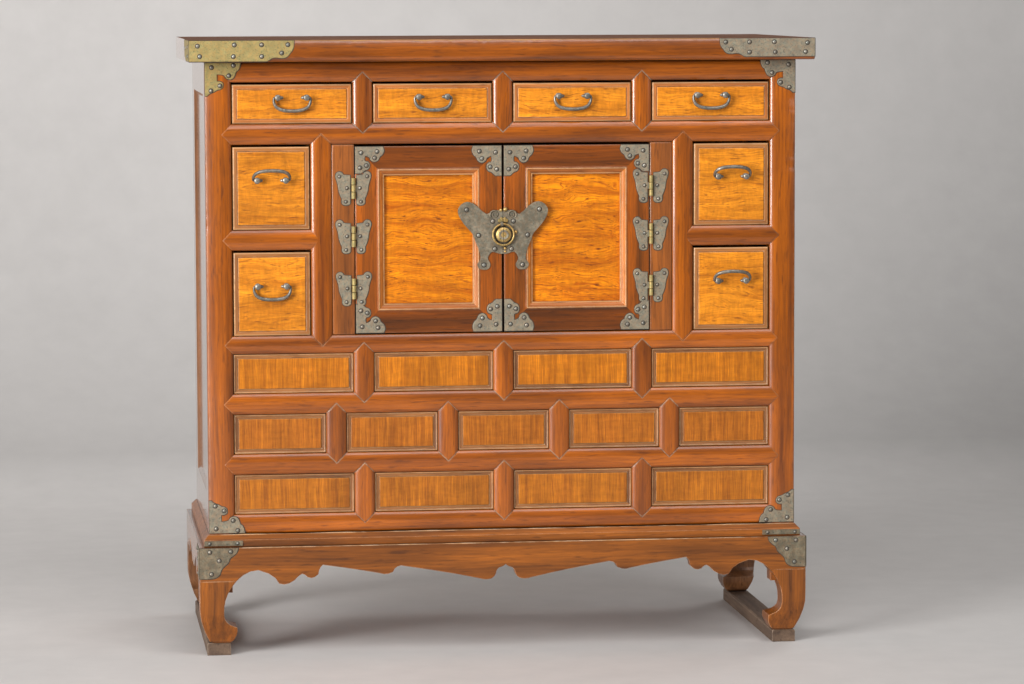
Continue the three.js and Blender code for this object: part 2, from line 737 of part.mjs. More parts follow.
// The right-hand door, drawn from its pin: the door runs to -x, its face is behind the pin.
function makeDoor(side) {
  const face = doorFace - pinY;
  const outer = doorOuter - pinX;
  const inner = doorSeamGap / 2 - pinX;
  const width = outer - inner;
  const middle = (outer + inner) / 2;
  const rise = bayBottom + doorBottomGap + doorHeight / 2 - bayMiddle;
  const heights = [rise - doorHeight / 2, rise + doorHeight / 2];
  const board = block([inner, outer], [face, face + doorThickness], heights);

  const mouldedWidth = width - 2 * doorMemberWidth;
  const mouldedHeight = doorHeight - 2 * doorMemberWidth;
  const lightWidth = mouldedWidth - 2 * doorMouldingWidth;
  const lightHeight = mouldedHeight - 2 * doorMouldingWidth;
  const slope = frustum([lightWidth, lightHeight], [mouldedWidth, mouldedHeight], [0, doorMouldingDrop]);
  const through = doorThickness + cutOverrun;
  const light = block(
    [-lightWidth / 2, lightWidth / 2], [0, through], [-lightHeight / 2, lightHeight / 2],
  );
  const panelWidth = lightWidth + 2 * doorPanelLap;
  const panelHeight = lightHeight + 2 * doorPanelLap;
  const panelFront = doorMouldingDrop * 2;
  const rebate = block(
    [-panelWidth / 2, panelWidth / 2], [panelFront, through], [-panelHeight / 2, panelHeight / 2],
  );
  const opening = shifted(joined(slope, light, rebate), middle, face, rise);
  const leaves = hingePlaces.map((place) => shifted(movingLeaf().mirror([1, 0, 0]), 0, 0, place));
  const frame = toMesh(`door_frame_${side}`, joined(board.subtract(opening), ...leaves), doorWood);

  const panel = toMesh(`door_panel_${side}`, block(
    [fit - panelWidth / 2, panelWidth / 2 - fit],
    [panelFront + jointGap, panelFront + jointGap + doorPanelThickness],
    [fit - panelHeight / 2, panelHeight / 2 - fit],
  ), panelWood);
  placed(panel, middle, face, rise);
  return placed(groupOf(frame, panel, makeLockHalf(side)), pinX, pinY, bayMiddle);
}

// One half of the lock plate with half the boss. The left half also carries the eye of the ring.
function makeLockHalf(side) {
  const seam = lockPlateSeam / 2;
  const back = doorFace - pinY - jointGap;
  const front = back - lockPlateThickness;
  const edge = smooth([
    [0, lockPlateTopShare * lockHalfHeight],
    ...scaledShares(lockPlateShares, lockHalfWidth, lockHalfHeight),
    [0, lockPlateBottomShare * lockHalfHeight],
  ], outlineSegments * 2);
  const plate = prismY(shapeOf(edge), [front, back]);
  const bossProfile = scaledShares(bossProfileShares, bossRadius, bossHeight);
  const boss = shifted(turned(bossProfile, bossSegments), 0, back, 0);
  const half = block(
    [seam, lockHalfWidth * 2], [front - bossHeight * 2, back], [-lockHalfHeight * 2, lockHalfHeight * 2],
  );
  let solid = plate.add(boss).intersect(half);
  if (side === "left") {
    const eyeY = front - eyeStandoff;
    const bore = ringWire + eyeClearance;
    const outer = bore + eyeWall;
    const eyeMiddle = seam + eyeWidth / 2;
    const root = block(
      [-eyeWidth / 2, eyeWidth / 2], [0, eyeStandoff + lockPlateThickness / 2], [-outer, outer],
    );
    const lug = round(outer, eyeWidth, axisX).add(root);
    const lugAt = shifted(lug, eyeMiddle, eyeY, ringRadius);
    const boreAt = shifted(round(bore, eyeWidth * 2, axisX), eyeMiddle, eyeY, ringRadius);
    solid = solid.add(lugAt).subtract(boreAt);
  }
  return placed(toMesh(`lock_plate_${side}`, solid, agedBrass), -pinX, 0, lockRise);
}

// The ring, hanging from its eye.
function makeLockRing() {
  const torus = new THREE.TorusGeometry(ringRadius, ringWire, wireSides, ringSteps);
  const solid = toSolid(torus.rotateX(Math.PI / 2));
  const y = doorFace - jointGap - lockPlateThickness - eyeStandoff;
  return placed(toMesh("lock_ring", solid, brightBrass), 0, y, bayMiddle + lockRise);
}

// Drawers and handles

// A bail hanging from its pivot line.
function makeBail(name, angle) {
  const half = bailWidth / 2 - bailWire;
  const drop = bailDrop - bailWire;
  const left = scaledShares(bailPathShares, -half, drop);
  const right = scaledShares(bailPathShares.slice(0, -1), half, drop).reverse();
  const points = [...left, ...right].map(([x, z]) => new THREE.Vector3(x, 0, z));
  const curve = new THREE.CatmullRomCurve3(points);
  const mesh = toMesh(name, wire(curve, bailWire, bailSteps), agedBrass);
  mesh.rotation.x = angle;
  return mesh;
}

function handlePost(x, z) {
  const profile = scaledShares(postProfileShares, postCapRadius, postLength);
  const bore = round(bailWire + bailBoreClearance, postCapRadius * 3, axisX);
  const post = turned(profile, postSegments).subtract(shifted(bore, 0, -bailPivotHeight, 0));
  return shifted(post, x, 0, z);
}

// A drawer: x from its middle, y from its face, z from its bottom.
function makeDrawer(name, [openingWidth, openingHeight], [x, level], bailRise, bailAngle) {
  const width = openingWidth - 2 * drawerSideGap;
  const height = openingHeight - drawerTopGap;
  const half = width / 2;
  const front = block([-half, half], [0, drawerFrontThickness], [0, height]);
  const fieldSize = [width - 2 * fieldMargin, height - 2 * fieldMargin];
  const field = frustum(
    fieldSize, fieldSize.map((size) => size - 2 * drawerFieldChamfer), [-drawerFieldRise, drawerFieldRise],
  );
  const sideHeight = height - drawerSideDrop;
  const box = block([-half, half], [drawerFrontThickness / 2, drawerDepth], [0, sideHeight]);
  const inside = block(
    [drawerSideThickness - half, half - drawerSideThickness],
    [drawerFrontThickness, drawerDepth - drawerSideThickness],
    [drawerBottomThickness, height + cutOverrun],
  );
  const postZ = height / 2 + bailRise;
  const posts = [-1, 1].map((sign) => handlePost((sign * postSpacing) / 2, postZ));
  const solid = joined(front, box, shifted(field, 0, 0, height / 2)).subtract(inside);
  const body = toMesh(`drawer_${name}`, joined(solid, ...posts), drawerWood);
  const bail = placed(makeBail(`bail_${name}`, bailAngle), 0, -bailPivotHeight, postZ);
  return placed(groupOf(body, bail), x, caseFront + drawerSetback, level + fit);
}

function makeDrawers() {
  const drawers = new THREE.Group();
  for (let i = 0; i <= topMullionCount; i += 1) {
    const x = (i - topMullionCount / 2) * topDrawerPitch;
    const opening = [topDrawerWidth, topDrawerOpening];
    drawers.add(makeDrawer(`top_${i + 1}`, opening, [x, topDrawerBottom], topBailRise, 0));
  }
  const sideX = innerPostOuter + sideBayWidth / 2;
  const places = [
    ["left_upper", -sideX, upperDrawerOpening, upperDrawerBottom, raisedBail],
    ["left_lower", -sideX, lowerDrawerOpening, bayBottom, 0],
    ["right_upper", sideX, upperDrawerOpening, upperDrawerBottom, raisedBail],
    ["right_lower", sideX, lowerDrawerOpening, bayBottom, raisedBail],
  ];
  for (const [name, x, opening, level, angle] of places) {
    drawers.add(makeDrawer(name, [sideBayWidth, opening], [x, level], sideBailRise, angle));
  }
  return drawers;
}

// Stand

function makeBelt() {
  const width = standWidth - 2 * beltSetback;
  const depth = standDepth - 2 * beltSetback;
  const slope = 2 * beltSlopeRun;
  const bottom = beltTop - beltHeight + fit;
  const slopeStart = beltTop - beltSlopeHeight;
  const lower = block([-width / 2, width / 2], [-depth / 2, depth / 2], [bottom, slopeStart]);
  const cap = frustum([width, depth], [width - slope, depth - slope], [-beltSlopeHeight + fit, 0]);
  const upper = shifted(cap.rotate([-90, 0, 0]), 0, 0, slopeStart);
  const innerX = width / 2 - beltMember;
  const innerY = depth / 2 - beltMember;
  const hole = block([-innerX, innerX], [-innerY, innerY], [bottom - cutOverrun, beltTop + cutOverrun]);
  return toMesh("stand_belt", joined(lower, upper).subtract(hole), standWood);
}

// An apron, with its outer face at y = 0 and z from its lower line at the legs.
function makeApron(name, length, middleShare, shares) {
  const half = length / 2;
  const free = half - legWidth;
  const at = ([u, v]) => [u * free, v * apronHeight];
  const shape = new THREE.Shape();
  shape.moveTo(...at([0, middleShare]));
  for (const [control, end] of shares) shape.quadraticCurveTo(...at(control), ...at(end));
  shape.lineTo(half, 0);
  shape.lineTo(half, apronHeight - fit);
  shape.lineTo(0, apronHeight - fit);
  const right = prismY(shape, [0, apronThickness]);
  const over = cutOverrun;
  const end = half - mitreFit;
  const inside = apronThickness + over;
  const mitre = shapeOf([[-over, -over], [end + over, -over], [end - inside, inside], [-over, inside]]);
  const trimmed = right.intersect(prismZ(mitre, [-apronHeight, apronHeight * 2]));
  return toMesh(name, trimmed.add(trimmed.mirror([1, 0, 0])), standWood);
}

// A leg, drawn from its outer corner: inwards is -x and +y, as on the front right.
function makeLeg(name) {
  const side = [
    ...smooth(legInnerShares, legSegments),
    ...smooth(legToeShares, legSegments / 2).slice(1),
    ...smooth(legOuterShares, legSegments / 2),
  ];
  const outline = side.map(([u, v]) => [u * legWidth, v * (legHeight - fit)]);
  const reach = legWidth + cutOverrun * 2;
  const fromFront = prismY(shapeOf(outline.map(([u, v]) => [-u, v])), [-cutOverrun, reach]);
  const fromSide = prismX(shapeOf(outline), [-reach, cutOverrun]);
  const foot = fromFront.intersect(fromSide);
  const near = apronThickness + jointGap;
  const head = block(
    [-legPostWidth, -near], [near, legPostWidth], [legHeight - legPostLap, legHeight + apronHeight - fit],
  );
  return toMesh(name, foot.add(head), standWood);
}

function makeRunner(name) {
  const half = runnerWidth / 2;
  const shape = shapeOf([
    [-half, 0], [half, 0], [half, runnerHeight - runnerEdge], [half - runnerEdge, runnerHeight],
    [runnerEdge - half, runnerHeight], [-half, runnerHeight - runnerEdge],
  ]);
  const length = [runnerFrontInset - standDepth / 2, standDepth / 2 - runnerBackInset];
  return toMesh(name, prismY(shape, length), runnerWood);
}

function makeStand() {
  const stand = new THREE.Group();
  stand.add(makeBelt());
  const halfWidth = standWidth / 2;
  const halfDepth = standDepth / 2;
  const apronBottom = runnerHeight + jointGap + legHeight;
  const aprons = [
    ["front", standWidth, longApronMiddleShare, longApronShares, 0, -halfDepth, 0],
    ["back", standWidth, longApronMiddleShare, longApronShares, 0, halfDepth, Math.PI],
    ["right", standDepth, shortApronMiddleShare, shortApronShares, halfWidth, 0, Math.PI / 2],
    ["left", standDepth, shortApronMiddleShare, shortApronShares, -halfWidth, 0, -Math.PI / 2],
  ];
  for (const [name, length, middleShare, shares, x, y, turn] of aprons) {
    const apron = placed(makeApron(`apron_${name}`, length, middleShare, shares), x, y, apronBottom);
    apron.rotation.z = turn;
    stand.add(apron);
  }
  for (const [x, side] of [[-1, "left"], [1, "right"]]) {
    for (const [y, end] of [[1, "front"], [-1, "back"]]) {
      const leg = makeLeg(`leg_${end}_${side}`);
      leg.scale.set(x, y, 1);
      stand.add(placed(leg, x * halfWidth, -y * halfDepth, runnerHeight + jointGap));
    }
    const runnerX = halfWidth - legWidth + (legWidth - runnerWidth) / 2 - runnerEdge;
    stand.add(placed(makeRunner(`runner_${side}`), x * (runnerX + runnerWidth / 2), 0, 0));
  }
  return stand;
}

// The whole cupboard

function makeHalf(side) {
  const half = groupOf(
    makeCornerPost(`corner_post_${side}`),
    makeInnerPost(`inner_post_${side}`),
    makeHingeStile(`hinge_stile_${side}`),
    makeDrawerShelf(`drawer_shelf_${side}`),
    makeDrawerCase(`drawer_case_${side}`),
    makeSide(`side_${side}`),
    makeDoor(side),
  );
  if (side === "left") half.scale.x = -1;
  return half;
}

function makeCupboard() {
  const cupboard = groupOf(makeTopBoard(), makeBack(), makeRails(), makeHalf("left"), makeHalf("right"));
  topMullions.forEach((x, i) => cupboard.add(makeTopMullion(`top_mullion_${i + 1}`, x)));
  for (const row of Object.keys(rowPanelCounts)) cupboard.add(makePanelRow(`panel_row_${row}`, row));
  cupboard.add(makeLockRing(), makeDrawers(), makeStand());
  return cupboard;
}

export default makeCupboard();
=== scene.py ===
# The finish of a low cupboard on a stand: oiled woods, worn brass fittings and a plain studio.
#
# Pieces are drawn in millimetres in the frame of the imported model, with X to the right, Y to the
# back and Z up, and become metres when their mesh is made. The front faces -Y.

import math

import bmesh
import bpy
from mathutils import Matrix, Vector, noise


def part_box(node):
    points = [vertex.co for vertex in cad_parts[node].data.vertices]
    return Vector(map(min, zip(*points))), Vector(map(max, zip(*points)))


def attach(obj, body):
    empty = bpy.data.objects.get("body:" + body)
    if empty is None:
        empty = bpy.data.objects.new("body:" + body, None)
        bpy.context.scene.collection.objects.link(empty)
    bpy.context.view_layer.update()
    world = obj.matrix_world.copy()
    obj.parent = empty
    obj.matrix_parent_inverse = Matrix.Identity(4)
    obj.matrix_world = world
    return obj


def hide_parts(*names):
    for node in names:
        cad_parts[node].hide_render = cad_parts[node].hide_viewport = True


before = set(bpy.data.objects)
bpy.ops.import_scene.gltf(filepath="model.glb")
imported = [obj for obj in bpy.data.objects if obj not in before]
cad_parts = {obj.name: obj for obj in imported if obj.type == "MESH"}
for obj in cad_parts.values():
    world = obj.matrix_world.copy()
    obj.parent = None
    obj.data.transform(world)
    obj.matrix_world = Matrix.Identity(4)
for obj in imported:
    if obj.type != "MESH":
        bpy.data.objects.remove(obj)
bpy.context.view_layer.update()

MM = 0.001
TURN = 2 * math.pi
QUARTER = math.pi / 2


def span(node):
    """Lowest and highest corner of a CAD node, in millimetres."""
    low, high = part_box(node)
    return low / MM, high / MM


def even(low, high, steps):
    """Values at even steps, with both ends."""
    return [low + (high - low) * k / steps for k in range(steps + 1)]


def spokes(steps, start=0.0, sweep=TURN):
    """The cosine and sine at even steps of a sweep. A whole turn has no end of its own."""
    angles = even(start, start + sweep, steps)
    if sweep == TURN:
        angles.pop()
    return [(math.cos(angle), math.sin(angle)) for angle in angles]


# Shader nodes

def feed(tree, node, inputs):
    """Set a node's sockets to values, or link them to other sockets."""
    for key, value in inputs.items():
        if isinstance(value, bpy.types.NodeSocket):
            tree.links.new(value, node.inputs[key])
        else:
            node.inputs[key].default_value = value


def add(tree, kind, inputs=None, **settings):
    """A node with its settings and its sockets fed."""
    made = tree.nodes.new(kind)
    for name, value in settings.items():
        setattr(made, name, value)
    feed(tree, made, inputs or {})
    return made


def calc(tree, operation, first, second):
    return add(tree, "ShaderNodeMath", {0: first, 1: second}, operation=operation).outputs[0]


def product(tree, first, *others):
    for other in others:
        first = calc(tree, "MULTIPLY", first, other)
    return first


def vector_calc(tree, operation, first, second):
    made = add(tree, "ShaderNodeVectorMath", {0: first, 1: second}, operation=operation)
    return made.outputs["Value" if operation == "DOT_PRODUCT" else "Vector"]


def stretched(tree, vector, factors):
    """A vector or colour times three numbers."""
    return vector_calc(tree, "MULTIPLY", vector, factors)


def scaled(tree, vector, factor):
    """A vector or colour times one number."""
    return add(tree, "ShaderNodeVectorMath", {0: vector, "Scale": factor}, operation="SCALE").outputs[0]


def ramp(tree, value, low, high, to_low=0.0, to_high=1.0):
    """A number moved from one range to another and held inside it."""
    return add(tree, "ShaderNodeMapRange", {0: value, 1: low, 2: high, 3: to_low, 4: to_high}).outputs[0]


def blend(tree, amount, first, second, way="MIX"):
    node = add(tree, "ShaderNodeMix", {0: amount, 6: first, 7: second}, data_type="RGBA", blend_type=way)
    return node.outputs[2]


def speckle(tree, vector, scale, detail=2.0, roughness=0.5, output="Fac"):
    values = {"Vector": vector, "Scale": scale, "Detail": detail, "Roughness": roughness}
    return add(tree, "ShaderNodeTexNoise", values).outputs[output]


def own_place(tree):
    """The place on the piece, in metres."""
    return add(tree, "ShaderNodeTexCoord").outputs["Object"]


def bumped(tree, height, strength, depth, normal=None):
    """The normal of a surface that rises and falls with a height."""
    inputs = {"Height": height, "Strength": strength, "Distance": depth}
    if normal is not None:
        inputs["Normal"] = normal
    return add(tree, "ShaderNodeBump", inputs).outputs[0]


def colour(code):
    """A colour written as six hex digits, as the shader wants it."""
    parts = [int(code[i:i + 2], 16) / 255 for i in (0, 2, 4)]
    linear = [p / 12.92 if p <= 0.04045 else ((p + 0.055) / 1.055) ** 2.4 for p in parts]
    return (*linear, 1.0)


# Node groups that the materials share

COLOURS = ("Color", "Light", "Dark", "Bright", "Dull")
VECTORS = ("Vector", "Normal")
CORNER_REACH = 0.007


def new_group(name, inputs, outputs):
    """A group with its sockets: its tree, what it's given and the node that takes its results."""
    tree = bpy.data.node_groups.new(name, "ShaderNodeTree")
    for side, labels in (("INPUT", inputs), ("OUTPUT", outputs)):
        for label in labels:
            kind = "Color" if label in COLOURS else "Vector" if label in VECTORS else "Float"
            tree.interface.new_socket(name=label, in_out=side, socket_type=f"NodeSocket{kind}")
    return tree, tree.nodes.new("NodeGroupInput").outputs, tree.nodes.new("NodeGroupOutput")


def make_grain_group():
    """Growth lines, broad bands, fibres and pores along the vector's X, which is in metres."""
    tree, given, result = new_group(
        "Wood grain", ("Vector", "Light", "Dark", "Bands", "Wave", "Pores", "Lines"), ("Color", "Height"),
    )
    sway = speckle(tree, stretched(tree, given["Vector"], (7, 16, 16)), 1.0, output="Color")
    push = scaled(tree, vector_calc(tree, "SUBTRACT", sway, (0.5, 0.5, 0.5)), given["Wave"])
    path = vector_calc(tree, "ADD", given["Vector"], push)

    def streaks(factors, detail, roughness, scale=1.0):
        return speckle(tree, stretched(tree, path, factors), scale, detail, roughness)
    bands = ramp(tree, streaks((2.2, 62, 62), 5, 0.65, given["Bands"]), 0.3, 0.7)
    fibres = streaks((12, 330, 330), 4, 0.7)
    flecks = ramp(tree, streaks((34, 330, 330), 2, 0.5), 0.58, 0.72)
    patches = ramp(tree, streaks((5, 14, 14), 5, 0.6), 0.3, 0.7, 0.72, 1.16)
    broken = ramp(tree, streaks((14, 70, 70), 4, 0.65), 0.4, 0.6)
    parts = add(tree, "ShaderNodeSeparateXYZ", {0: path}).outputs
    across = calc(tree, "ADD", parts[1], parts[2])
    flat = add(tree, "ShaderNodeCombineXYZ", {0: product(tree, parts[0], 0.12), 2: across})
    rings = add(
        tree, "ShaderNodeTexWave",
        {"Vector": flat.outputs[0], "Scale": 60.0, "Distortion": 9.0, "Detail": 4.0, "Detail Scale": 0.8},
        bands_direction="Z",
    )
    line = product(tree, ramp(tree, rings.outputs["Fac"], 0.4, 0.05), broken, given["Lines"])
    tone = blend(tree, bands, given["Dark"], given["Light"])
    fine = ramp(tree, fibres, 0.3, 0.7, 0.74, 1.14)
    lined = blend(tree, line, scaled(tree, tone, product(tree, fine, patches)), given["Dark"])
    pores = product(tree, flecks, given["Pores"])
    deep = stretched(tree, given["Dark"], (0.4, 0.34, 0.3))
    rise = calc(tree, "SUBTRACT", product(tree, fibres, 0.6), product(tree, pores, 0.5))
    feed(tree, result, {"Color": blend(tree, pores, lined, deep), "Height": rise})
    return tree


def make_curl_group():
    """Ripples across the grain that make a figured board shimmer."""
    tree, given, result = new_group("Curly figure", ("Vector", "Color", "Depth", "Ripple"), ("Color",))
    sway = stretched(tree, speckle(tree, given["Vector"], 14.0, output="Color"), (0.03, 0.02, 0.02))
    moved = vector_calc(tree, "ADD", given["Vector"], sway)
    ripple = speckle(tree, stretched(tree, moved, (120, 22, 22)), given["Ripple"], 5, 0.7)
    cloud = speckle(tree, moved, 60.0, 5, 0.65)
    rippled = ramp(tree, ripple, 0.32, 0.68, -0.5, 0.5)
    light = calc(tree, "ADD", rippled, ramp(tree, cloud, 0.3, 0.7, -0.35, 0.35))
    amount = calc(tree, "ADD", product(tree, light, given["Depth"]), 1.0)
    feed(tree, result, {"Color": scaled(tree, given["Color"], amount)})
    return tree


def make_wear_group():
    """Where hands have rubbed the edges, darkening in corners and seams that is painted shade as well as
    soiling, and the normal of softened edges.
    """
    tree, given, result = new_group("Edge wear", ("Radius", "Patches"), ("Rubbed", "Dirt and shade", "Normal"))
    soft = add(tree, "ShaderNodeBevel", {"Radius": given["Radius"]}, samples=6).outputs[0]
    flat = add(tree, "ShaderNodeNewGeometry").outputs["True Normal"]
    edge = ramp(tree, vector_calc(tree, "DOT_PRODUCT", soft, flat), 0.98, 0.84)
    # The darkening below comes from ambient occlusion in corners and seams: painted shade along with
    # soiling.
    corner = add(tree, "ShaderNodeAmbientOcclusion", {"Distance": CORNER_REACH}, samples=8).outputs["AO"]
    proud = ramp(tree, corner, 0.5, 0.85)
    patch = ramp(tree, speckle(tree, own_place(tree), given["Patches"], 5, 0.7), 0.36, 0.56)
    feed(tree, result, {
        "Rubbed": product(tree, edge, proud, patch), "Dirt and shade": ramp(tree, corner, 0.62, 0.2), "Normal": soft,
    })
    return tree


def make_patina_group():
    """Brass that has gone dull and dark in patches, with pits and fine scratches."""
    tree, given, result = new_group(
        "Patina", ("Bright", "Dull", "Dark", "Cleaned"), ("Color", "Roughness", "Height"),
    )
    place = own_place(tree)
    clouds = speckle(tree, place, 95.0, 5, 0.65)
    rubbed = ramp(tree, calc(tree, "ADD", clouds, given["Cleaned"]), 0.42, 0.78)
    spots = ramp(tree, speckle(tree, place, 420.0, 3, 0.6), 0.56, 0.7)
    pits = speckle(tree, place, 1300.0, 2, 0.6)
    metal = blend(tree, rubbed, given["Dull"], given["Bright"])
    stained = blend(tree, product(tree, spots, 0.7), metal, given["Dark"])
    hue = ramp(tree, speckle(tree, place, 210.0, 3, 0.6), 0.35, 0.65)
    tint = blend(tree, hue, (1.1, 0.97, 0.9, 1), (0.9, 1.0, 1.06, 1))
    feed(tree, result, {
        "Color": blend(tree, 1.0, stained, tint, "MULTIPLY"),
        "Roughness": ramp(tree, clouds, 0.3, 0.7, 0.52, 0.36),
        "Height": calc(tree, "ADD", product(tree, clouds, 0.8), product(tree, pits, 0.35)),
    })
    return tree


GRAIN = make_grain_group()
CURL = make_curl_group()
WEAR = make_wear_group()
PATINA = make_patina_group()


def use_group(tree, group, inputs):
    return add(tree, "ShaderNodeGroup", inputs, node_tree=group).outputs


# Materials

WOOD_RELIEF = 0.0006
BRASS_RELIEF = 0.0004
GRIME_RELIEF = 0.0003
BRASS_EDGE = 0.0006
# Colours of the darkening in corners and seams: soiling and painted shade.
WOOD_SOIL_AND_SHADE = "24140a"
BRASS_SOIL_AND_SHADE = "17130f"


def new_material(name):
    material = bpy.data.materials.new(name)
    material.use_nodes = True
    tree = material.node_tree
    tree.nodes.clear()
    shader = add(tree, "ShaderNodeBsdfPrincipled")
    add(tree, "ShaderNodeOutputMaterial", {"Surface": shader.outputs[0]})
    return material, tree, shader


def grain_vector(tree, along):
    """The place on the piece with the grain's direction first, moved aside for each board cut."""
    cut = add(tree, "ShaderNodeAttribute", attribute_name="cut").outputs["Vector"]
    moved = vector_calc(tree, "ADD", own_place(tree), cut)
    parts = add(tree, "ShaderNodeSeparateXYZ", {0: moved}).outputs
    order = {"x": (0, 1, 2), "y": (1, 0, 2), "z": (2, 1, 0)}[along]
    return add(tree, "ShaderNodeCombineXYZ", {i: parts[k] for i, k in enumerate(order)}).outputs[0]


def aged_colour(tree, wear, base, worn, rub, shade_and_soil, dirt_and_shade):
    """A colour that is pale where it's rubbed and darker in corners and seams, which is painted shade as
    well as soiling.
    """
    rubbed = blend(tree, product(tree, wear["Rubbed"], rub), base, colour(worn))
    return blend(tree, product(tree, wear["Dirt and shade"], dirt_and_shade), rubbed, colour(shade_and_soil))


def wood(name, along, light, dark, worn, bands=1.0, wave=0.006, pores=0.5, lines=0.35, rub=0.7, dirt_and_shade=0.85,
         roughness=(0.3, 0.45), curl=None, relief=0.12, coat=0.1, edge=0.002, finer=1.0, shine=0.5):
    """A material for boards whose grain runs along one axis."""
    material, tree, shader = new_material(name)
    vector = scaled(tree, grain_vector(tree, along), finer)
    grain = use_group(tree, GRAIN, {
        "Vector": vector, "Light": colour(light), "Dark": colour(dark), "Bands": bands, "Wave": wave,
        "Pores": pores, "Lines": lines,
    })
    base = grain["Color"]
    if curl:
        depth, ripple = curl
        figure = use_group(tree, CURL, {"Vector": vector, "Color": base, "Depth": depth, "Ripple": ripple})
        base = figure["Color"]
    wear = use_group(tree, WEAR, {"Radius": edge, "Patches": 60.0})
    feed(tree, shader, {
        "Base Color": aged_colour(tree, wear, base, worn, rub, WOOD_SOIL_AND_SHADE, dirt_and_shade),
        "Roughness": ramp(tree, grain["Height"], 0.1, 0.5, roughness[1], roughness[0]),
        "Normal": bumped(tree, grain["Height"], relief, WOOD_RELIEF, wear["Normal"]),
        "IOR": 1.42, "Specular IOR Level": shine, "Coat Weight": coat, "Coat Roughness": 0.08,
    })
    return material


def level_and_upright(name, *tones, **more):
    """The same wood for boards that lie and for boards that stand."""
    return wood(f"{name}, level", "x", *tones, **more), wood(f"{name}, upright", "z", *tones, **more)


def brass(name, bright, dull, dark, cleaned=0.0, dirt_and_shade=0.8, relief=0.25, matt=0.14, metal=0.5):
    material, tree, shader = new_material(name)
    skin = use_group(tree, PATINA, {
        "Bright": colour(bright), "Dull": colour(dull), "Dark": colour(dark), "Cleaned": cleaned,
    })
    wear = use_group(tree, WEAR, {"Radius": BRASS_EDGE, "Patches": 160.0})
    feed(tree, shader, {
        "Base Color": aged_colour(tree, wear, skin["Color"], bright, 0.5, BRASS_SOIL_AND_SHADE, dirt_and_shade),
        "Roughness": calc(tree, "ADD", skin["Roughness"], matt),
        "Normal": bumped(tree, skin["Height"], relief, BRASS_RELIEF, wear["Normal"]),
        "Metallic": metal,
    })
    return material


def make_grime_and_shade():
    """The dark colour round nails and plates and in the boss's hole: soiling and painted shade."""
    material, tree, shader = new_material("grime_and_shade")
    patch = ramp(tree, speckle(tree, own_place(tree), 500.0, 3, 0.6), 0.3, 0.7)
    feed(tree, shader, {
        "Base Color": blend(tree, patch, colour("2c2620"), colour("4a4238")), "Roughness": 0.8,
        "Normal": bumped(tree, patch, 0.3, GRIME_RELIEF),
    })
    return material


STAND = ("a45c1a", "5c3212", "cc9a72")
POLISH = {"roughness": (0.24, 0.36), "coat": 0.75, "edge": 0.004, "rub": 0.4}
UNPOLISHED = {"roughness": (0.6, 0.75), "coat": 0, "rub": 0.3}
frame_x, frame_z = level_and_upright("frame wood", "ba6109", "6a3208", "cc9a70", **POLISH)
door_x = wood("door wood, level", "x", "8e460c", "42220a", "bc8a64", bands=0.8, **POLISH)
door_z = wood("door wood, upright", "z", "bc5e10", "58300e", "bc8a64", bands=0.8, **POLISH)
stile_z = wood("hinge stile wood", "z", "a85e24", "64381a", "bc8a64", bands=0.8, **POLISH)
edge_x = wood("moulding, level", "x", "b4662a", "7c4414", "d8b08c", rub=0.6)
edge_z = wood("moulding, upright", "z", "dc842c", "a05414", "e0b68c", rub=0.85)
border_x, border_z = level_and_upright("row border", "a46a38", "6a4228", "ccaa86", rub=1.0)
lip_x, lip_z = level_and_upright("drawer lip", "cc8040", "a05a28", "e8ccac", rub=1.0)
dark_lip_x, dark_lip_z = level_and_upright("side drawer lip", "b87840", "86542c", "e0c4a8", rub=1.0)
golden_door = wood(
    "golden door panel", "x", "f6940a", "a85200", "f0b870", wave=0.05, pores=1.0, lines=1.0,
    curl=(0.24, 1.0), rub=0.3, dirt_and_shade=0.35, finer=1.7,
)
ROW_WOODS = {"upper": ("d47e14", "9c540a"), "middle": ("c0701a", "8c4a10"), "lower": ("c07218", "8c4c12")}
golden_rows = {
    row: wood(
        f"golden {row} row panel", "z", *tones, "eab46c", bands=2.4, wave=0.01, pores=0.3, lines=0.8,
        curl=(0.26, 0.8), rub=0.4, dirt_and_shade=0.5, finer=1.6,
    )
    for row, tones in ROW_WOODS.items()
}
golden_drawer = wood(
    "golden drawer front", "x", "f09620", "b4660e", "f4c890", wave=0.04, pores=0.8, lines=0.6,
    curl=(0.3, 1.2), rub=0.5, dirt_and_shade=0.5, finer=1.5,
)
top_face = wood(
    "top wood, upper face", "x", "8c5228", "502c16", "c8a88c", roughness=(0.5, 0.65), coat=0, shine=0.1,
)
top_front = wood("top wood, front edge", "x", "a85604", "5e2c06", "cc9a70", **POLISH)
end_wood = wood(
    "top wood, ends", "y", "a0623a", "643c22", "b89078", roughness=(0.2, 0.3), relief=0.05, coat=1,
)
stand_x, stand_z = level_and_upright("stand wood", *STAND, rub=0.9)
stand_y = wood("stand wood, side", "y", *STAND, rub=0.9, coat=0.8)
# The back legs take a darker wood than the front legs: painted shade, for legs that stand in shadow.
shaded_back_leg_wood = wood("back leg wood, painted shade", "z", "90603c", "523422", "ac8868", rub=0.6)
side_wood = wood("side wood", "z", "9a643e", "5e3e28", "b8947c", rub=0.5, roughness=(0.25, 0.4), coat=1)
plain_x = wood("plain board, level", "x", "a8784c", "805636", "c8a078", **UNPOLISHED)
plain_y = wood("plain board, inside", "y", "b0835a", "8a6040", "c8a078", **UNPOLISHED)
runner_wood = wood(
    "runner wood", "y", "7c6450", "503e32", "c4b09a", rub=0.9, roughness=(0.65, 0.8), coat=0, relief=0.4,
)
worn_line = wood("worn edge", "x", "cc9864", "94683e", "e4ccb4", bands=2.0, rub=0.8, dirt_and_shade=0.6)
wax = wood("old wax in the seams", "x", "d0b8a0", "4a3426", "e0d0bc", bands=3.0, rub=0.2, coat=0)
aged = brass("aged brass", "a69a82", "857b69", "4a443a")
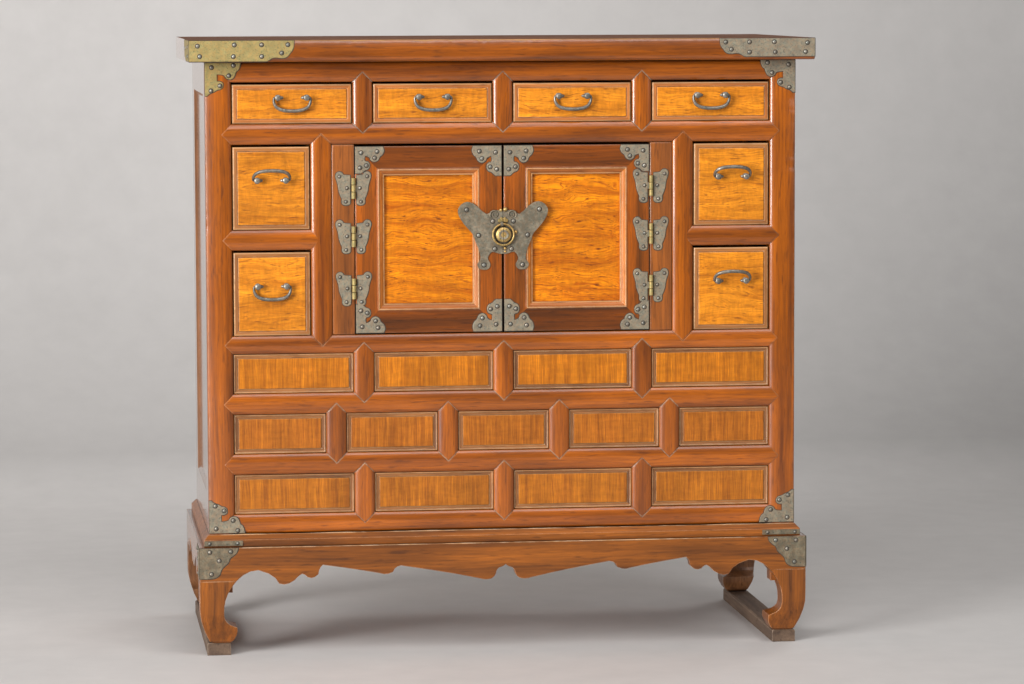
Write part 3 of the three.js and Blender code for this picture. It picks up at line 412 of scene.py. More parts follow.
yellow = brass("yellow brass", "b49e64", "968654", "5c5438", cleaned=0.04)
gold = brass("handled brass", "d8b674", "947a4a", "4c3818", cleaned=0.04, matt=0.04, metal=0.75)
pewter = brass("bail metal", "a09a90", "706c64", "34322e", matt=0, metal=0.7)
stand_brass = brass("stand brass", "9c8e74", "6c6250", "3e382e")
lock_brass = brass("lock brass", "a29680", "6c6454", "3a342c")
nail_metal = brass("nail heads", "aeaa9e", "7c786e", "2e2c28", matt=0, metal=0.7)
grime_and_shade = make_grime_and_shade()


# Meshes

WELD = 0.02


class Work:
    """Faces gathered for one piece, in millimetres, with a finish for each and a cut for each board."""

    made = 0

    def __init__(self, *finishes):
        self.finishes = finishes
        self.points = []
        self.faces = []
        self.kinds = []
        self.cuts = []  # one for each face
        self.new_board()

    def new_board(self):
        Work.made += 1
        self.cut = Work.made

    def keep(self, corners, finish):
        self.faces.append(corners)
        self.kinds.append(finish)
        self.cuts.append(self.cut)

    def strip(self, rows, finish=0, closed=False, looped=False):
        """Quads between rows of points, from one row to the next and round again if closed."""
        start = len(self.points)
        width = len(rows[0])
        for row in rows:
            self.points.extend(Vector(point) for point in row)
        for i in range(len(rows) if closed else len(rows) - 1):
            here = start + i * width
            there = start + (i + 1) % len(rows) * width
            for k in range(width if looped else width - 1):
                after = (k + 1) % width
                self.keep((here + k, here + after, there + after, there + k), finish)

    def face(self, points, finish=0):
        start = len(self.points)
        self.points.extend(Vector(point) for point in points)
        self.keep(tuple(range(start, start + len(points))), finish)

    def solid(self, rows, finish=0, end_finish=None):
        """Rows of points joined round, with both ends closed."""
        self.strip(rows, finish, looped=True)
        for end in (rows[0][::-1], rows[-1]):
            self.face(end, finish if end_finish is None else end_finish)

    def board(self, low, high, finish=0):
        """A board between two corners."""
        (x0, y0, z0), (x1, y1, z1) = low, high
        self.new_board()
        self.solid([[(x0, y0, z), (x1, y0, z), (x1, y1, z), (x0, y1, z)] for z in (z0, z1)], finish)

    def place(self, name, body, slot, replaces=(), bevel=0.0, smooth=40):
        """Make the piece. It rides a body and may stand in for CAD nodes. Its slot is not used."""
        mesh = bpy.data.meshes.new(name)
        mesh.from_pydata([point * MM for point in self.points], [], self.faces)
        for finish in self.finishes:
            mesh.materials.append(finish)
        mesh.polygons.foreach_set("material_index", self.kinds)
        cut = mesh.attributes.new("cut", "FLOAT_VECTOR", "FACE")
        shift = [value for k in self.cuts for value in (k * 0.731, k * 0.417, k * 0.593)]
        cut.data.foreach_set("vector", shift)
        mesh.validate()
        joined = bmesh.new()
        joined.from_mesh(mesh)
        bmesh.ops.remove_doubles(joined, verts=joined.verts, dist=WELD * MM)
        bmesh.ops.recalc_face_normals(joined, faces=joined.faces)
        joined.to_mesh(mesh)
        joined.free()
        made = bpy.data.objects.new(name, mesh)
        bpy.context.scene.collection.objects.link(made)
        if bevel:
            soft = made.modifiers.new("soft edges", "BEVEL")
            soft.width = bevel * MM
            soft.segments = 2
            soft.limit_method = "ANGLE"
            soft.angle_limit = math.radians(smooth)
        mesh.shade_smooth()
        mesh.set_sharp_from_angle(angle=math.radians(smooth))
        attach(made, body)
        for node in replaces:
            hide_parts(node)


def as_drawn(x, y, z):
    return (x, y, z)


def round_the_corner(side, end, front):
    """A way to lay points drawn for the front on the end of a board instead."""
    return lambda x, y, z: (end + side * (front - y), x, z)


def rectangle(x0, x1, z0, z1):
    return [Vector(corner) for corner in ((x0, z0), (x1, z0), (x1, z1), (x0, z1))]


def softened(points, kept=()):
    """An outline with its corners cut twice, apart from those kept."""
    marked = [(Vector(point), i in kept) for i, point in enumerate(points)]
    for _ in range(2):
        cut = []
        for i, (point, hard) in enumerate(marked):
            if hard:
                cut.append((point, True))
                continue
            for other in (marked[i - 1][0], marked[(i + 1) % len(marked)][0]):
                cut.append((point.lerp(other, 0.25), False))
        marked = cut
    return [point for point, _ in marked]


def inset(outline, distance):
    """The outline drawn in by a distance, for a plate's rounded edge."""
    turn = sum(a.cross(b) for a, b in zip(outline, outline[1:] + outline[:1]))
    side = 1 if turn > 0 else -1
    drawn = []
    for i, point in enumerate(outline):
        ahead = (outline[(i + 1) % len(outline)] - point).normalized()
        behind = (point - outline[i - 1]).normalized()
        way = ahead + behind
        way = way.normalized() if way.length > 0.01 else ahead
        drawn.append(point + Vector((-way.y, way.x)) * distance * side)
    return drawn


def turning(work, profile, centre, finish=0, around=16, start=0.0, sweep=TURN, lay=as_drawn):
    """A round form facing the front, from radii and how far out they are."""
    x, y, z = centre
    directions = spokes(around, start, sweep)
    rows = [[lay(x + radius * c, y - out, z + radius * s) for c, s in directions] for radius, out in profile]
    whole = sweep == TURN
    work.strip(rows, finish, looped=whole)
    if not whole:
        work.face([row[0] for row in rows] + [row[-1] for row in reversed(rows)], finish)


def tube(work, path, radii, finish=0, sides=10, closed=False):
    """A round bar along a path of points."""
    points = [Vector(point) for point in path]
    count = len(points)
    rows = []
    normal = None
    for i, point in enumerate(points):
        after = points[(i + 1) % count] if closed or i < count - 1 else point
        before = points[i - 1] if closed or i > 0 else point
        ahead = (after - before).normalized()
        if normal is None:
            normal = ahead.orthogonal()
        normal = (normal - ahead * normal.dot(ahead)).normalized()
        other = ahead.cross(normal)
        rows.append([point + (normal * c + other * s) * radii[i] for c, s in spokes(sides)])
    if closed:
        work.strip(rows, finish, closed=True, looped=True)
    else:
        work.solid(rows, finish)


def inside(ends, inwards):
    """A range drawn in at both ends."""
    return ends[0] + inwards, ends[1] - inwards


def mitred(work, x, z, face, profile, finishes=(0, 1), worn=(), worn_finish=0):
    """Four mitred members round an opening. The profile has distances inwards and behind the face.
    The worn strips of the profile, counted from its start, take a finish of their own."""
    for k in range(4):
        work.new_board()
        rows = []
        for inwards, behind in profile:
            (x0, x1), (z0, z1) = inside(x, inwards), inside(z, inwards)
            y = face + behind
            corners = [(x0, y, z0), (x1, y, z0), (x1, y, z1), (x0, y, z1)]
            rows.append([corners[k], corners[(k + 1) % 4]])
        first = len(work.faces)
        work.strip(rows, finishes[k % 2], closed=True)
        for i in worn:
            work.kinds[first + i] = worn_finish


def field(work, x, z, inwards, near, far, finish=2):
    """The flat board inside a mitred border."""
    (x0, x1), (z0, z1) = inside(x, inwards), inside(z, inwards)
    work.board((x0, near, z0), (x1, far, z1), finish)


# Brass plates and nails

# The third finish, for rims round plates and nails and the boss's hole, is dark soiling and painted shade.
BRASS, NAIL, DIRT_AND_SHADE, OTHER_BRASS = range(4)
RIM_WIDTH = 0.9
RIM_THICKNESS = 0.2
PLATE_THICKNESS = 1.0
PLATE_LIFT = 0.1
NAIL_HEIGHT = 1.8
NAIL_RADIUS = 2.7
SMALL_NAIL = 2.2


def brass_work(metal, *others):
    """A brass piece, whose finishes go by the names above."""
    return Work(metal, nail_metal, grime_and_shade, *others)


def plate(work, outline, level, thickness=PLATE_THICKNESS, lay=as_drawn, soiled_and_shaded=True):
    """A thin plate in the (x, z) plane whose back is at y = level; lay moves its points elsewhere.
    When asked for, a dark rim of soiling and painted shade shows round it."""
    round_edge = min(0.5, thickness * 0.5)
    shapes = [(outline, 0), (outline, thickness - round_edge), (inset(outline, round_edge), thickness)]
    layers = [(shapes, BRASS)]
    if soiled_and_shaded:
        wider = inset(outline, -RIM_WIDTH)
        layers.append(([(wider, 0), (wider, RIM_THICKNESS)], DIRT_AND_SHADE))
    for forms, finish in layers:
        work.solid([[lay(p.x, level - out, p.y) for p in shape] for shape, out in forms], finish)


def nail(work, x, z, level, radius=NAIL_RADIUS, lay=as_drawn):
    """A round-headed nail in a dark ring of soiling and painted shade."""
    ring = [(radius * 1.4, 0), (radius * 1.32, 0.12), (0.02, 0.12)]
    turning(work, ring, (x, level, z), DIRT_AND_SHADE, 12, lay=lay)
    head = [(radius, 0), (radius, 0.4), (radius * 0.9, 1.0), (radius * 0.6, 1.6), (0.02, NAIL_HEIGHT)]
    turning(work, head, (x, level, z), NAIL, 12, lay=lay)


# Kinds of plate: the outline in shares of its size from a corner inwards, the corners of it that
# stay sharp, and the places of the nails
BAND = (
    [(0, 0), (1, 0), (0.995, 0.4), (0.96, 0.62), (0.935, 0.8), (0.89, 0.86), (0.81, 0.8), (0.77, 0.9),
     (0.74, 1), (0, 1)],
    (0, 1, 8, 9),
    [(0.08, 0.25), (0.1, 0.75), (0.43, 0.2), (0.42, 0.76), (0.69, 0.2), (0.69, 0.76), (0.94, 0.2),
     (0.88, 0.6)],
)
BAND_END = (*BAND[:2], [(0.2, 0.3), (0.2, 0.75), (0.75, 0.4)])
DOOR_PLATE = (
    [(0, 0), (0.95, 0), (1, 0.16), (0.93, 0.32), (0.84, 0.37), (0.79, 0.52), (0.64, 0.58), (0.51, 0.5),
     (0.5, 0.4), (0.34, 0.34), (0.31, 0.54), (0.46, 0.56), (0.51, 0.7), (0.46, 0.84), (0.33, 0.88),
     (0.25, 0.96), (0.2, 1), (0, 1)],
    (0, 1, 9, 16, 17),
    [(0.2, 0.22), (0.74, 0.18), (0.16, 0.78), (0.66, 0.42), (0.38, 0.7)],
)
CASE_PLATE = (
    [(0, 0), (1, 0), (0.985, 0.12), (0.94, 0.23), (0.87, 0.27), (0.855, 0.36), (0.8, 0.47), (0.7, 0.515),
     (0.585, 0.47), (0.54, 0.365), (0.34, 0.35), (0.34, 0.56), (0.43, 0.56), (0.51, 0.61), (0.51, 0.73),
     (0.44, 0.8), (0.34, 0.82), (0.26, 0.88), (0.14, 0.92), (0.06, 1), (0, 1)],
    (0, 1, 10, 11, 19, 20),
    [(0.19, 0.14), (0.8, 0.08), (0.67, 0.39), (0.42, 0.69), (0.17, 0.84)],
)
STAND_PLATE = (
    [(0, 0), (1, 0), (0.97, 0.14), (0.88, 0.25), (0.78, 0.33), (0.75, 0.48), (0.63, 0.6), (0.55, 0.72),
     (0.52, 0.88), (0.42, 0.97), (0.3, 1), (0, 1)],
    (0, 1, 11),
    [(0.26, 0.12), (0.8, 0.11), (0.5, 0.4), (0.3, 0.84)],
)


def corner_plate(work, kind, corner, size, way, level, thickness=PLATE_THICKNESS, lay=as_drawn):
    """A plate from a corner inwards; way gives the signs of its two directions."""
    def at(u, v):
        return (corner[0] + way[0] * u * size[0], corner[1] + way[1] * v * size[1])
    shares, kept, nails = kind
    plate(work, softened([at(u, v) for u, v in shares], kept), level, thickness, lay)
    for u, v in nails:
        nail(work, *at(u, v), level - thickness, lay=lay)


# Places read from the frame

SIDES = (("left", -1), ("right", 1))
TOP_LOW, TOP_HIGH = span("top_board")
CASE_LOW, CASE_HIGH = span("corner_post_left")[0], span("corner_post_right")[1]
CROWN = CASE_LOW.y
BAR_BACK = CROWN + 24
STILE_LOW, STILE_HIGH = span("hinge_stile_right")
RING_LOW, RING_HIGH = span("lock_ring")
RING_MIDDLE = (RING_LOW + RING_HIGH) / 2
DOOR_FACE = CROWN + 4.25
ROW_FACE = CROWN + 6.4
DRAWER_FACE = CROWN + 2.75
LOCK_FACE = CROWN + 2.2


# Top board

BAND_THICKNESS = 0.8
SET_BACK = BAND_THICKNESS + NAIL_HEIGHT
BAND_SIZES = {-1: (154.6, 30.6), 1: (144.6, 27.0)}
BAND_WRAP = 150
BAND_DROP = 0.7
TOP_STEPS = 150
TOP_ROUND = 7
TOP_WORN_STRIP = 2
TOP_FACE_STRIPS = range(3, 8)


def dress_top_board():
    """The overhanging top, chipped along its front edge, with rounded lower edges."""
    low = TOP_LOW + Vector((SET_BACK, SET_BACK, 0))
    high = TOP_HIGH - Vector((SET_BACK, 0, 0))
    bend = low.z + TOP_ROUND
    quarter = spokes(4, 0, QUARTER)
    under = [(high.y - TOP_ROUND * (1 - c), bend - TOP_ROUND * s) for c, s in quarter[1:]]
    under += [(low.y + TOP_ROUND * (1 - s), bend - TOP_ROUND * c) for c, s in quarter[:-1]]
    rows = []
    for x in even(low.x, high.x, TOP_STEPS):
        chip = noise.noise((x * 0.045, 3.1, 0.4)) + 0.6 * noise.noise((x * 0.17, 7.7, 1.9))
        drop = 1.2 + 2.6 * max(0.0, chip) ** 1.5
        edge = low.y + drop * 1.1
        over = [
            (low.y, bend), (low.y, high.z - drop - 0.6), (low.y + 0.4, high.z - drop), (edge, high.z - 0.25),
            (edge + 1, high.z), (low.y + 12, high.z), (high.y - 8, high.z), (high.y - 1.5, high.z),
            (high.y, high.z - 1.5), (high.y, bend),
        ]
        rows.append([(x, y, z) for y, z in over + under])
    work = Work(top_front, top_face, end_wood, worn_line)
    work.solid(rows, end_finish=2)
    across = len(rows[0])
    for i in range(TOP_STEPS * across):
        if i % across in TOP_FACE_STRIPS:
            work.kinds[i] = 1
        if i % across == TOP_WORN_STRIP:
            work.kinds[i] = 3
    work.place("top_board_wood", "case", "frame_wood", replaces=["top_board"], smooth=50)


def dress_top_bands():
    """The brass bands that wrap the front corners of the top."""
    top = TOP_HIGH.z - BAND_DROP
    front = TOP_LOW.y + SET_BACK
    for name, side in SIDES:
        length, height = BAND_SIZES[side]
        end = side * (TOP_HIGH.x - SET_BACK)
        work = brass_work(yellow if side < 0 else aged)
        corner_plate(work, BAND, (end, top), (length, height), (-side, -1), front, BAND_THICKNESS)
        corner_plate(
            work, BAND_END, (front, top), (BAND_WRAP, height), (1, -1), front, BAND_THICKNESS,
            round_the_corner(side, end, front),
        )
        work.place(f"top_band_{name}", "case", "aged_brass")


# Case and stand corners

CASE_PLATE_SIZE = (53, 49)
STAND_PLATE_SIZE = (58, 46)
BELT_STRIP = (1.6, 9.4)
BELT_NAILS = (8, 50)
ARRIS_STEPS = 180


def dress_case_corners():
    """The plates on the four corners of the case's front."""
    for name, side in SIDES:
        for end, z, up in (("upper", CASE_HIGH.z - 0.6, -1), ("lower", CASE_LOW.z + 2, 1)):
            work = brass_work(yellow if (side, up) == (-1, -1) else aged)
            corner = (side * (CASE_HIGH.x - 0.4), z)
            corner_plate(work, CASE_PLATE, corner, CASE_PLATE_SIZE, (-side, up), CROWN - PLATE_LIFT)
            work.place(f"case_plate_{end}_{name}", "case", "aged_brass")


def dress_stand_corners():
    """The plates that wrap the front corners of the aprons, and the strips on the belt above them."""
    low, high = span("apron_front")
    belt_low, belt_high = span("stand_belt")
    level = low.y - PLATE_LIFT
    top = high.z - 0.3
    z0, z1 = (belt_low.z + rise for rise in BELT_STRIP)
    for name, side in SIDES:
        work = brass_work(stand_brass)
        corner_plate(work, STAND_PLATE, (side * high.x, top), STAND_PLATE_SIZE, (-side, -1), level)
        corner_plate(
            work, STAND_PLATE, (low.y, top), STAND_PLATE_SIZE, (1, -1), level,
            lay=round_the_corner(side, side * (high.x + 0.3), low.y),
        )
        ends = [side * (belt_high.x - inwards) for inwards in (0.2, STAND_PLATE_SIZE[0])]
        plate(work, rectangle(*ends, z0, z1), belt_low.y - PLATE_LIFT, soiled_and_shaded=False)
        for inwards in BELT_NAILS:
            x = side * (belt_high.x - inwards)
            nail(work, x, (z0 + z1) / 2, belt_low.y - PLATE_THICKNESS, SMALL_NAIL)
        work.place(f"stand_plate_{name}", "case", "aged_brass")


def dress_stand_edges():
    """The pale worn arrises along the front of the belt and of the apron below it."""
    work = Work(worn_line)
    belt_low, belt_high = span("stand_belt")
    apron_low, apron_high = span("apron_front")
    for reach, y, z in (
        (belt_high.x - 7, belt_low.y + 7, belt_high.z - 0.2),
        (apron_high.x - 0.5, apron_low.y + 0.3, apron_high.z - 0.3),
    ):
        path = [(x, y, z) for x in even(-reach, reach, ARRIS_STEPS)]
        radii = []
        for x, _, _ in path:
            rough = noise.noise((x * 0.02, z, 0.5)) + 0.5 * noise.noise((x * 0.11, z, 8.5))
            radii.append(0.35 + 0.75 * max(0.0, 0.4 + rough))
        tube(work, path, radii, 0, 6)
    work.place("stand_worn_edges", "case", "stand_wood")


# Bars of the front frame

TOP_MULLIONS = tuple(f"top_mullion_{k}" for k in (1, 2, 3))
MULLION = 30.7
MULLION_PROUD = 0.4
JOINT_GAP = 0.3
BAR_DROP = 5.2
BAR_RUN = 12
MITRE_DEPTH = 10
SEAM_RADIUS = 0.5
SKIN = 0.1
POST_STEPS = 180
POST_BACKSET = 0.06


def bar_height(u, half):
    """How far the bar's face lies behind its crown, at u from its middle."""
    past = max(0.0, abs(u) - (half - BAR_RUN)) / BAR_RUN
    return BAR_DROP * (1 - math.sqrt(max(0.0, 1 - past * past)))


def pointed_mullion(work, x, middle, length, finish=0, width=MULLION, proud=MULLION_PROUD):
    """An upright bar whose ends come to a point, cut into the rails."""
    work.new_board()
    half = width / 2
    tip = (length + width + JOINT_GAP) / 2
    rows = []
    for c, _ in spokes(20, 0, math.pi):
        u = -half * c
        y = CROWN - proud + bar_height(u, half)
        end = tip - abs(u)
        rows.append([(x + u, y, middle - end), (x + u, y, middle + end)])
    work.strip(rows, finish)
    rim = [row[1] for row in rows] + [row[0] for row in reversed(rows)]
    back = [(px, CROWN + MITRE_DEPTH, pz) for px, _, pz in rim]
    work.strip([rim, back], finish, looped=True)
    work.face(back[::-1], finish)


def tip_seams(work, x, low, high):
    """The lines of old wax along the sides of a bar's two tips, whose roots are at low and high."""
    half = MULLION / 2
    for z, way in ((high, 1), (low, -1)):
        path = []
        for u in even(-half, half, 20):
            path.append((x + u, CROWN + bar_height(u, half) - 0.05, z + way * (half + 0.2 - abs(u))))
        tube(work, path, [SEAM_RADIUS] * len(path), 0, 5)


def dress_upright_bars():
    """Rounded skins over the posts beside the cupboard and the bars between the top drawers."""
    for node in (*TOP_MULLIONS, "inner_post_left", "inner_post_right"):
        low, high = span(node)
        middle = (low + high) / 2
        width = high.x - low.x
        work = Work(frame_z)
        pointed_mullion(
            work, middle.x, middle.z, high.z - low.z - width, width=width + 2 * SKIN, proud=SKIN,
        )
        work.place(f"{node}_skin", "case", "frame_wood")


def dress_corner_posts():
    """The posts at the corners of the front, chipped along their outer edge. Their crown lies a
    hair behind that of the rails whose points run into them."""
    for name, side in SIDES:
        low, high = span(f"corner_post_{name}")
        outer = max(abs(low.x), abs(high.x))
        width = high.x - low.x
        crown = CROWN + POST_BACKSET
        work = Work(frame_z)
        rows = []
        for z in even(low.z, high.z, POST_STEPS):
            rough = noise.noise((z * 0.03, 5.3 * side, 0.7)) + 0.7 * noise.noise((z * 0.13, 2.1 * side, 4.4))
            chip = 0.9 + 2.0 * max(0.0, rough - 0.1)
            profile = [(0, BAR_BACK), (0, crown + chip), (chip * 0.35, crown + chip * 0.4), (chip, crown)]
            for _, s in spokes(8, 0, QUARTER):
                profile.append((width + BAR_RUN * (s - 1), crown + bar_height(BAR_RUN * s, BAR_RUN)))
            profile.append((width, BAR_BACK))
            rows.append([(side * (outer - u), y, z) for u, y in profile])
        work.solid(rows)
        work.place(
            f"corner_post_{name}_wood", "case", "frame_wood", replaces=[f"corner_post_{name}"], smooth=35,
        )


# Panel rows

ROW_COUNTS = {"upper": 4, "middle": 5, "lower": 4}
ROW_HEIGHT = 59
BAR_ROOM = MULLION + 2 * JOINT_GAP
ROW_BORDER = [
    (0, 12), (0, -0.6), (0.8, -1.4), (1.7, -1.4), (2.6, -0.2), (5.8, -0.2), (6.8, 0.8), (7.8, 0.8),
    (7.8, 12),
]
ROW_FIELD = 6.8


def row_bar(row, k):
    """The x of a row's bars, counted from the one that would stand left of the first panel."""
    reach = span(f"panel_row_{row}")[1].x
    return (2 * reach + BAR_ROOM) / ROW_COUNTS[row] * k - reach - BAR_ROOM / 2


def row_middle(row):
    low, high = span(f"panel_row_{row}")
    return (low.z + high.z) / 2


def dress_panel_rows():
    """Each fixed row: golden fields in moulded borders, with mullions between them."""
    half = (ROW_HEIGHT - JOINT_GAP) / 2
    for row, count in ROW_COUNTS.items():
        middle = row_middle(row)
        z = (middle - half, middle + half)
        work = Work(border_x, border_z, golden_rows[row], frame_z, worn_line)
        for k in range(count):
            x = (row_bar(row, k) + BAR_ROOM / 2, row_bar(row, k + 1) - BAR_ROOM / 2)
            mitred(work, x, z, ROW_FACE, ROW_BORDER, worn=(2, 5), worn_finish=4)
            field(work, x, z, ROW_FIELD, ROW_FACE - 1.2, ROW_FACE + 8)
        for k in range(1, count):
            pointed_mullion(work, row_bar(row, k), middle, ROW_HEIGHT, 3)
        work.place(f"row_{row}", "case", "panel_wood", replaces=[f"panel_row_{row}"], bevel=0.35)


def dress_seams():
    """Wax in the mitres of the upright bars."""
    work = Work(wax)
    for node in TOP_MULLIONS:
        low, high = span(node)
        tip_seams(work, (low.x + high.x) / 2, low.z + MULLION / 2, high.z - MULLION / 2)
    for row, count in ROW_COUNTS.items():
        middle = row_middle(row)
        for k in range(1, count):
            tip_seams(work, row_bar(row, k), middle - ROW_HEIGHT / 2, middle + ROW_HEIGHT / 2)
    work.place("seam_wax", "case", "frame_wood")


# Hinges

STILE_INNER = 223
DOOR_GAP = 1.3
PIN_FROM_SEAM = STILE_INNER + DOOR_GAP
HINGE_MIDDLE = (STILE_LOW.z + STILE_HIGH.z) / 2
HINGE_OFFSETS = (76.5, 4.5, -73.5)
WING_SIZE = (27, 25.4)
WING_THICKNESS = 1.2
WING_SHARES = [
    (0.16, 0.77), (0.38, 0.78), (0.55, 0.8), (0.6, 0.92), (0.75, 1), (0.92, 0.94), (1, 0.77), (0.97, 0.6),
    (0.91, 0.42), (0.84, 0.15), (0.82, -0.12), (0.73, -0.42), (0.63, -0.62), (0.66, -0.75), (0.63, -0.92),
    (0.5, -1), (0.28, -1), (0.16, -0.9), (0.16, -0.7),
]
WING_KEPT = (0, 18)
WING_NAIL_SHARES = [(0.77, 0.7), (0.36, 0.02), (0.42, -0.78)]
WING_BEADS = 7
BARREL_HEIGHT = 31
BARREL_RADIUS = 3.2
PIN_STAND_OFF = BARREL_RADIUS + 0.3
DOOR_KNUCKLE = 11
KNUCKLE_GAP = 0.4
STILE_CLEAR = 2.6
DOOR_CLEAR = 4.8


def hinge_wing(work, pin, way, clear):
    """One wing of a butterfly hinge, on the side of the pin that way gives, starting clear of the pin."""
    width, height = WING_SIZE
    outline = [(pin.x + way * max(u * width, clear), pin.z + v * height) for u, v in WING_SHARES]
    plate(work, softened(outline, WING_KEPT), DOOR_FACE, WING_THICKNESS)
    level = DOOR_FACE - WING_THICKNESS
    for u, v in WING_NAIL_SHARES:
        nail(work, pin.x + way * u * width, pin.z + v * height, level, SMALL_NAIL)
    for k in range(WING_BEADS):
        x = pin.x + way * (0.24 + 0.07 * k) * width
        z = pin.z + (0.55 - 0.03 * k) * height
        turning(work, [(0.7, 0), (0.4, 0.5), (0.02, 0.6)], (x, level, z), BRASS, 6)


def knuckle(work, pin, low, high):
    """A length of the barrel round the pin."""
    rings = []
    for z, share in ((low, 0.8), (low + 0.4, 1), (high - 0.4, 1), (high, 0.8)):
        radius = BARREL_RADIUS * share
        rings.append([(pin.x + radius * c, pin.y + radius * s, pin.z + z) for c, s in spokes(14)])
    work.solid(rings, OTHER_BRASS)


def add_hinges(work, side, way, clear, lengths):
    """One side of a door's hinges: wings, and tongues that join them to their lengths of barrel."""
    for offset in HINGE_OFFSETS:
        pin = Vector((side * PIN_FROM_SEAM, DOOR_FACE - PIN_STAND_OFF, HINGE_MIDDLE + offset))
        hinge_wing(work, pin, way, clear)
        for low, high in lengths:
            tongue = rectangle(pin.x, pin.x + way * (clear + 1), pin.z + low, pin.z + high)
            plate(work, tongue, DOOR_FACE, WING_THICKNESS * 0.9, soiled_and_shaded=False)
            knuckle(work, pin, low, high)


def dress_hinge_stiles():
    """The stiles beside the doors, with the fixed wings and two knuckles of each hinge."""
    outer, inner = BARREL_HEIGHT / 2, DOOR_KNUCKLE / 2
    for name, side in SIDES:
        work = Work(stile_z)
        near, far = sorted((side * STILE_INNER, side * STILE_HIGH.x))
        work.board((near, DOOR_FACE, STILE_LOW.z), (far, BAR_BACK, STILE_HIGH.z))
        work.place(
            f"hinge_stile_{name}_wood", "case", "frame_wood", replaces=[f"hinge_stile_{name}"], bevel=0.8,
        )
        fittings = brass_work(aged, yellow)
        add_hinges(fittings, side, side, STILE_CLEAR, [(-outer, -inner), (inner, outer)])
        fittings.place(f"hinge_wings_{name}", "case", "aged_brass")


# Doors

DOOR_FRAME_WIDTH = 34
DOOR_FRAME = [(0, 20), (0, 0), (DOOR_FRAME_WIDTH, 0), (DOOR_FRAME_WIDTH, 2), (DOOR_FRAME_WIDTH, 20)]
DOOR_MOULDING = [
    (0, 19), (0, -0.5), (0.8, -0.9), (2, -0.7), (2.6, 0.6), (4.6, 1.0), (6.4, 2.0), (7.2, 3.2), (8, 3.4),
    (9.4, 3.4), (10, 4.4), (10, 19),
]
OUTER_PLATE_WIDTH = 44
SEAM_PLATE_WIDTH = 45
SEAM_PLATE_EXTRA = 5
UPPER_PLATE_HEIGHT = 40
LOWER_PLATE_HEIGHT = 43


def dress_door(name, side):
    """A door: mitred frame, inner moulding, its hinge wings and corner plates."""
    body = f"door_{name}"
    low, high = span("door_frame_right")
    seam, outer = side * low.x, side * (STILE_INNER - DOOR_GAP)
    x = sorted((seam, outer))
    z = (low.z, high.z)
    opening = (inside(x, DOOR_FRAME_WIDTH), inside(z, DOOR_FRAME_WIDTH))
    work = Work(door_x, door_z, edge_x, edge_z, worn_line)
    mitred(work, x, z, DOOR_FACE, DOOR_FRAME)
    mitred(work, *opening, DOOR_FACE, DOOR_MOULDING, (2, 3), worn=(2, 8), worn_finish=4)
    work.place(f"door_{name}_wood", body, "door_wood", replaces=[f"door_frame_{name}"], bevel=0.4)
    fittings = brass_work(aged, yellow)
    half = DOOR_KNUCKLE / 2 - KNUCKLE_GAP
    add_hinges(fittings, side, -side, DOOR_CLEAR, [(-half, half)])
    fittings.place(f"door_{name}_hinge_wings", body, "aged_brass")
    plates = brass_work(aged)
    for edge, way, width, extra in (
        (outer, -side, OUTER_PLATE_WIDTH, 0), (seam, side, SEAM_PLATE_WIDTH, SEAM_PLATE_EXTRA),
    ):
        for end, up, height in ((z[1] - 0.5, -1, UPPER_PLATE_HEIGHT), (z[0] + 0.5, 1, LOWER_PLATE_HEIGHT)):
            corner = (edge + way * 0.4, end)
            size = (width, height + extra)
            corner_plate(plates, DOOR_PLATE, corner, size, (way, up), DOOR_FACE - PLATE_LIFT)
    plates.place(f"door_{name}_corner_plates", body, "aged_brass")


# Lock plate, boss and ring

BOSS_PROFILE = [
    (9.4, 0), (9.4, 1.4), (8.6, 1.8), (8.6, 5.0), (10.8, 5.8), (11.3, 7.0), (10.8, 8.2), (8.6, 9.2),
    (4.6, 9.9), (0.02, 10.2),
]
# A dark disc on the boss: painted shade for the hole of its pit.
HOLE_SHADE_PROFILE = [(1.9, 0), (1.8, 0.9), (0.02, 0.9)]
HOLE_SHADE_PLACE = (-4.2, -8.2, -4.4)
LOCK_NAIL_PLACES = [(55, 37.5), (15.5, 20), (37, -1), (29, -45.5), (12.5, -21.5)]
LOCK_NAIL = 2.9
STUD_PROFILE = [(1, 0), (1, 0.35), (0.86, 0.75), (0.5, 1.05), (0.01, 1.15)]
LOCK_STUDS = {
    "left": [(-3.4, 36.5, 2.4)],
    "right": [(3.4, 37.6, 3.4), (2.9, -20.5, 2.4), (3.0, -25.5, 1.7), (19, 3.5, 2.8)],
}
CREST_SHARES = [
    (0.04, 0), (0.8, 0), (1, 0.3), (0.9, 0.62), (0.62, 0.72), (0.5, 0.95), (0.25, 1), (0.04, 0.86),
]
CREST_KEPT = (0, 7)
CREST_SIZE = (8, 8.5)
CREST_FOOT = 17.6
CREST_THICKNESS = 1.6
CURL_STEPS = 20
CURL_MIDDLE = (13, 30)
RING_STEPS = 48
RING_BAR = 1.7
RING_INSET = 1.5


def add_curl(work, side):
    """A raised spiral at the top of one half of the plate, thinner towards its middle."""
    path = []
    radii = []
    for k in range(CURL_STEPS):
        angle = math.radians(215 - 24 * k)
        radius = 7.2 - 0.26 * k
        x = side * (CURL_MIDDLE[0] - radius * math.cos(angle))
        path.append((x, LOCK_FACE - 0.6, RING_MIDDLE.z + CURL_MIDDLE[1] + radius * math.sin(angle)))
        radii.append(1.3 - 0.03 * k)
    tube(work, path, radii, OTHER_BRASS, 6)


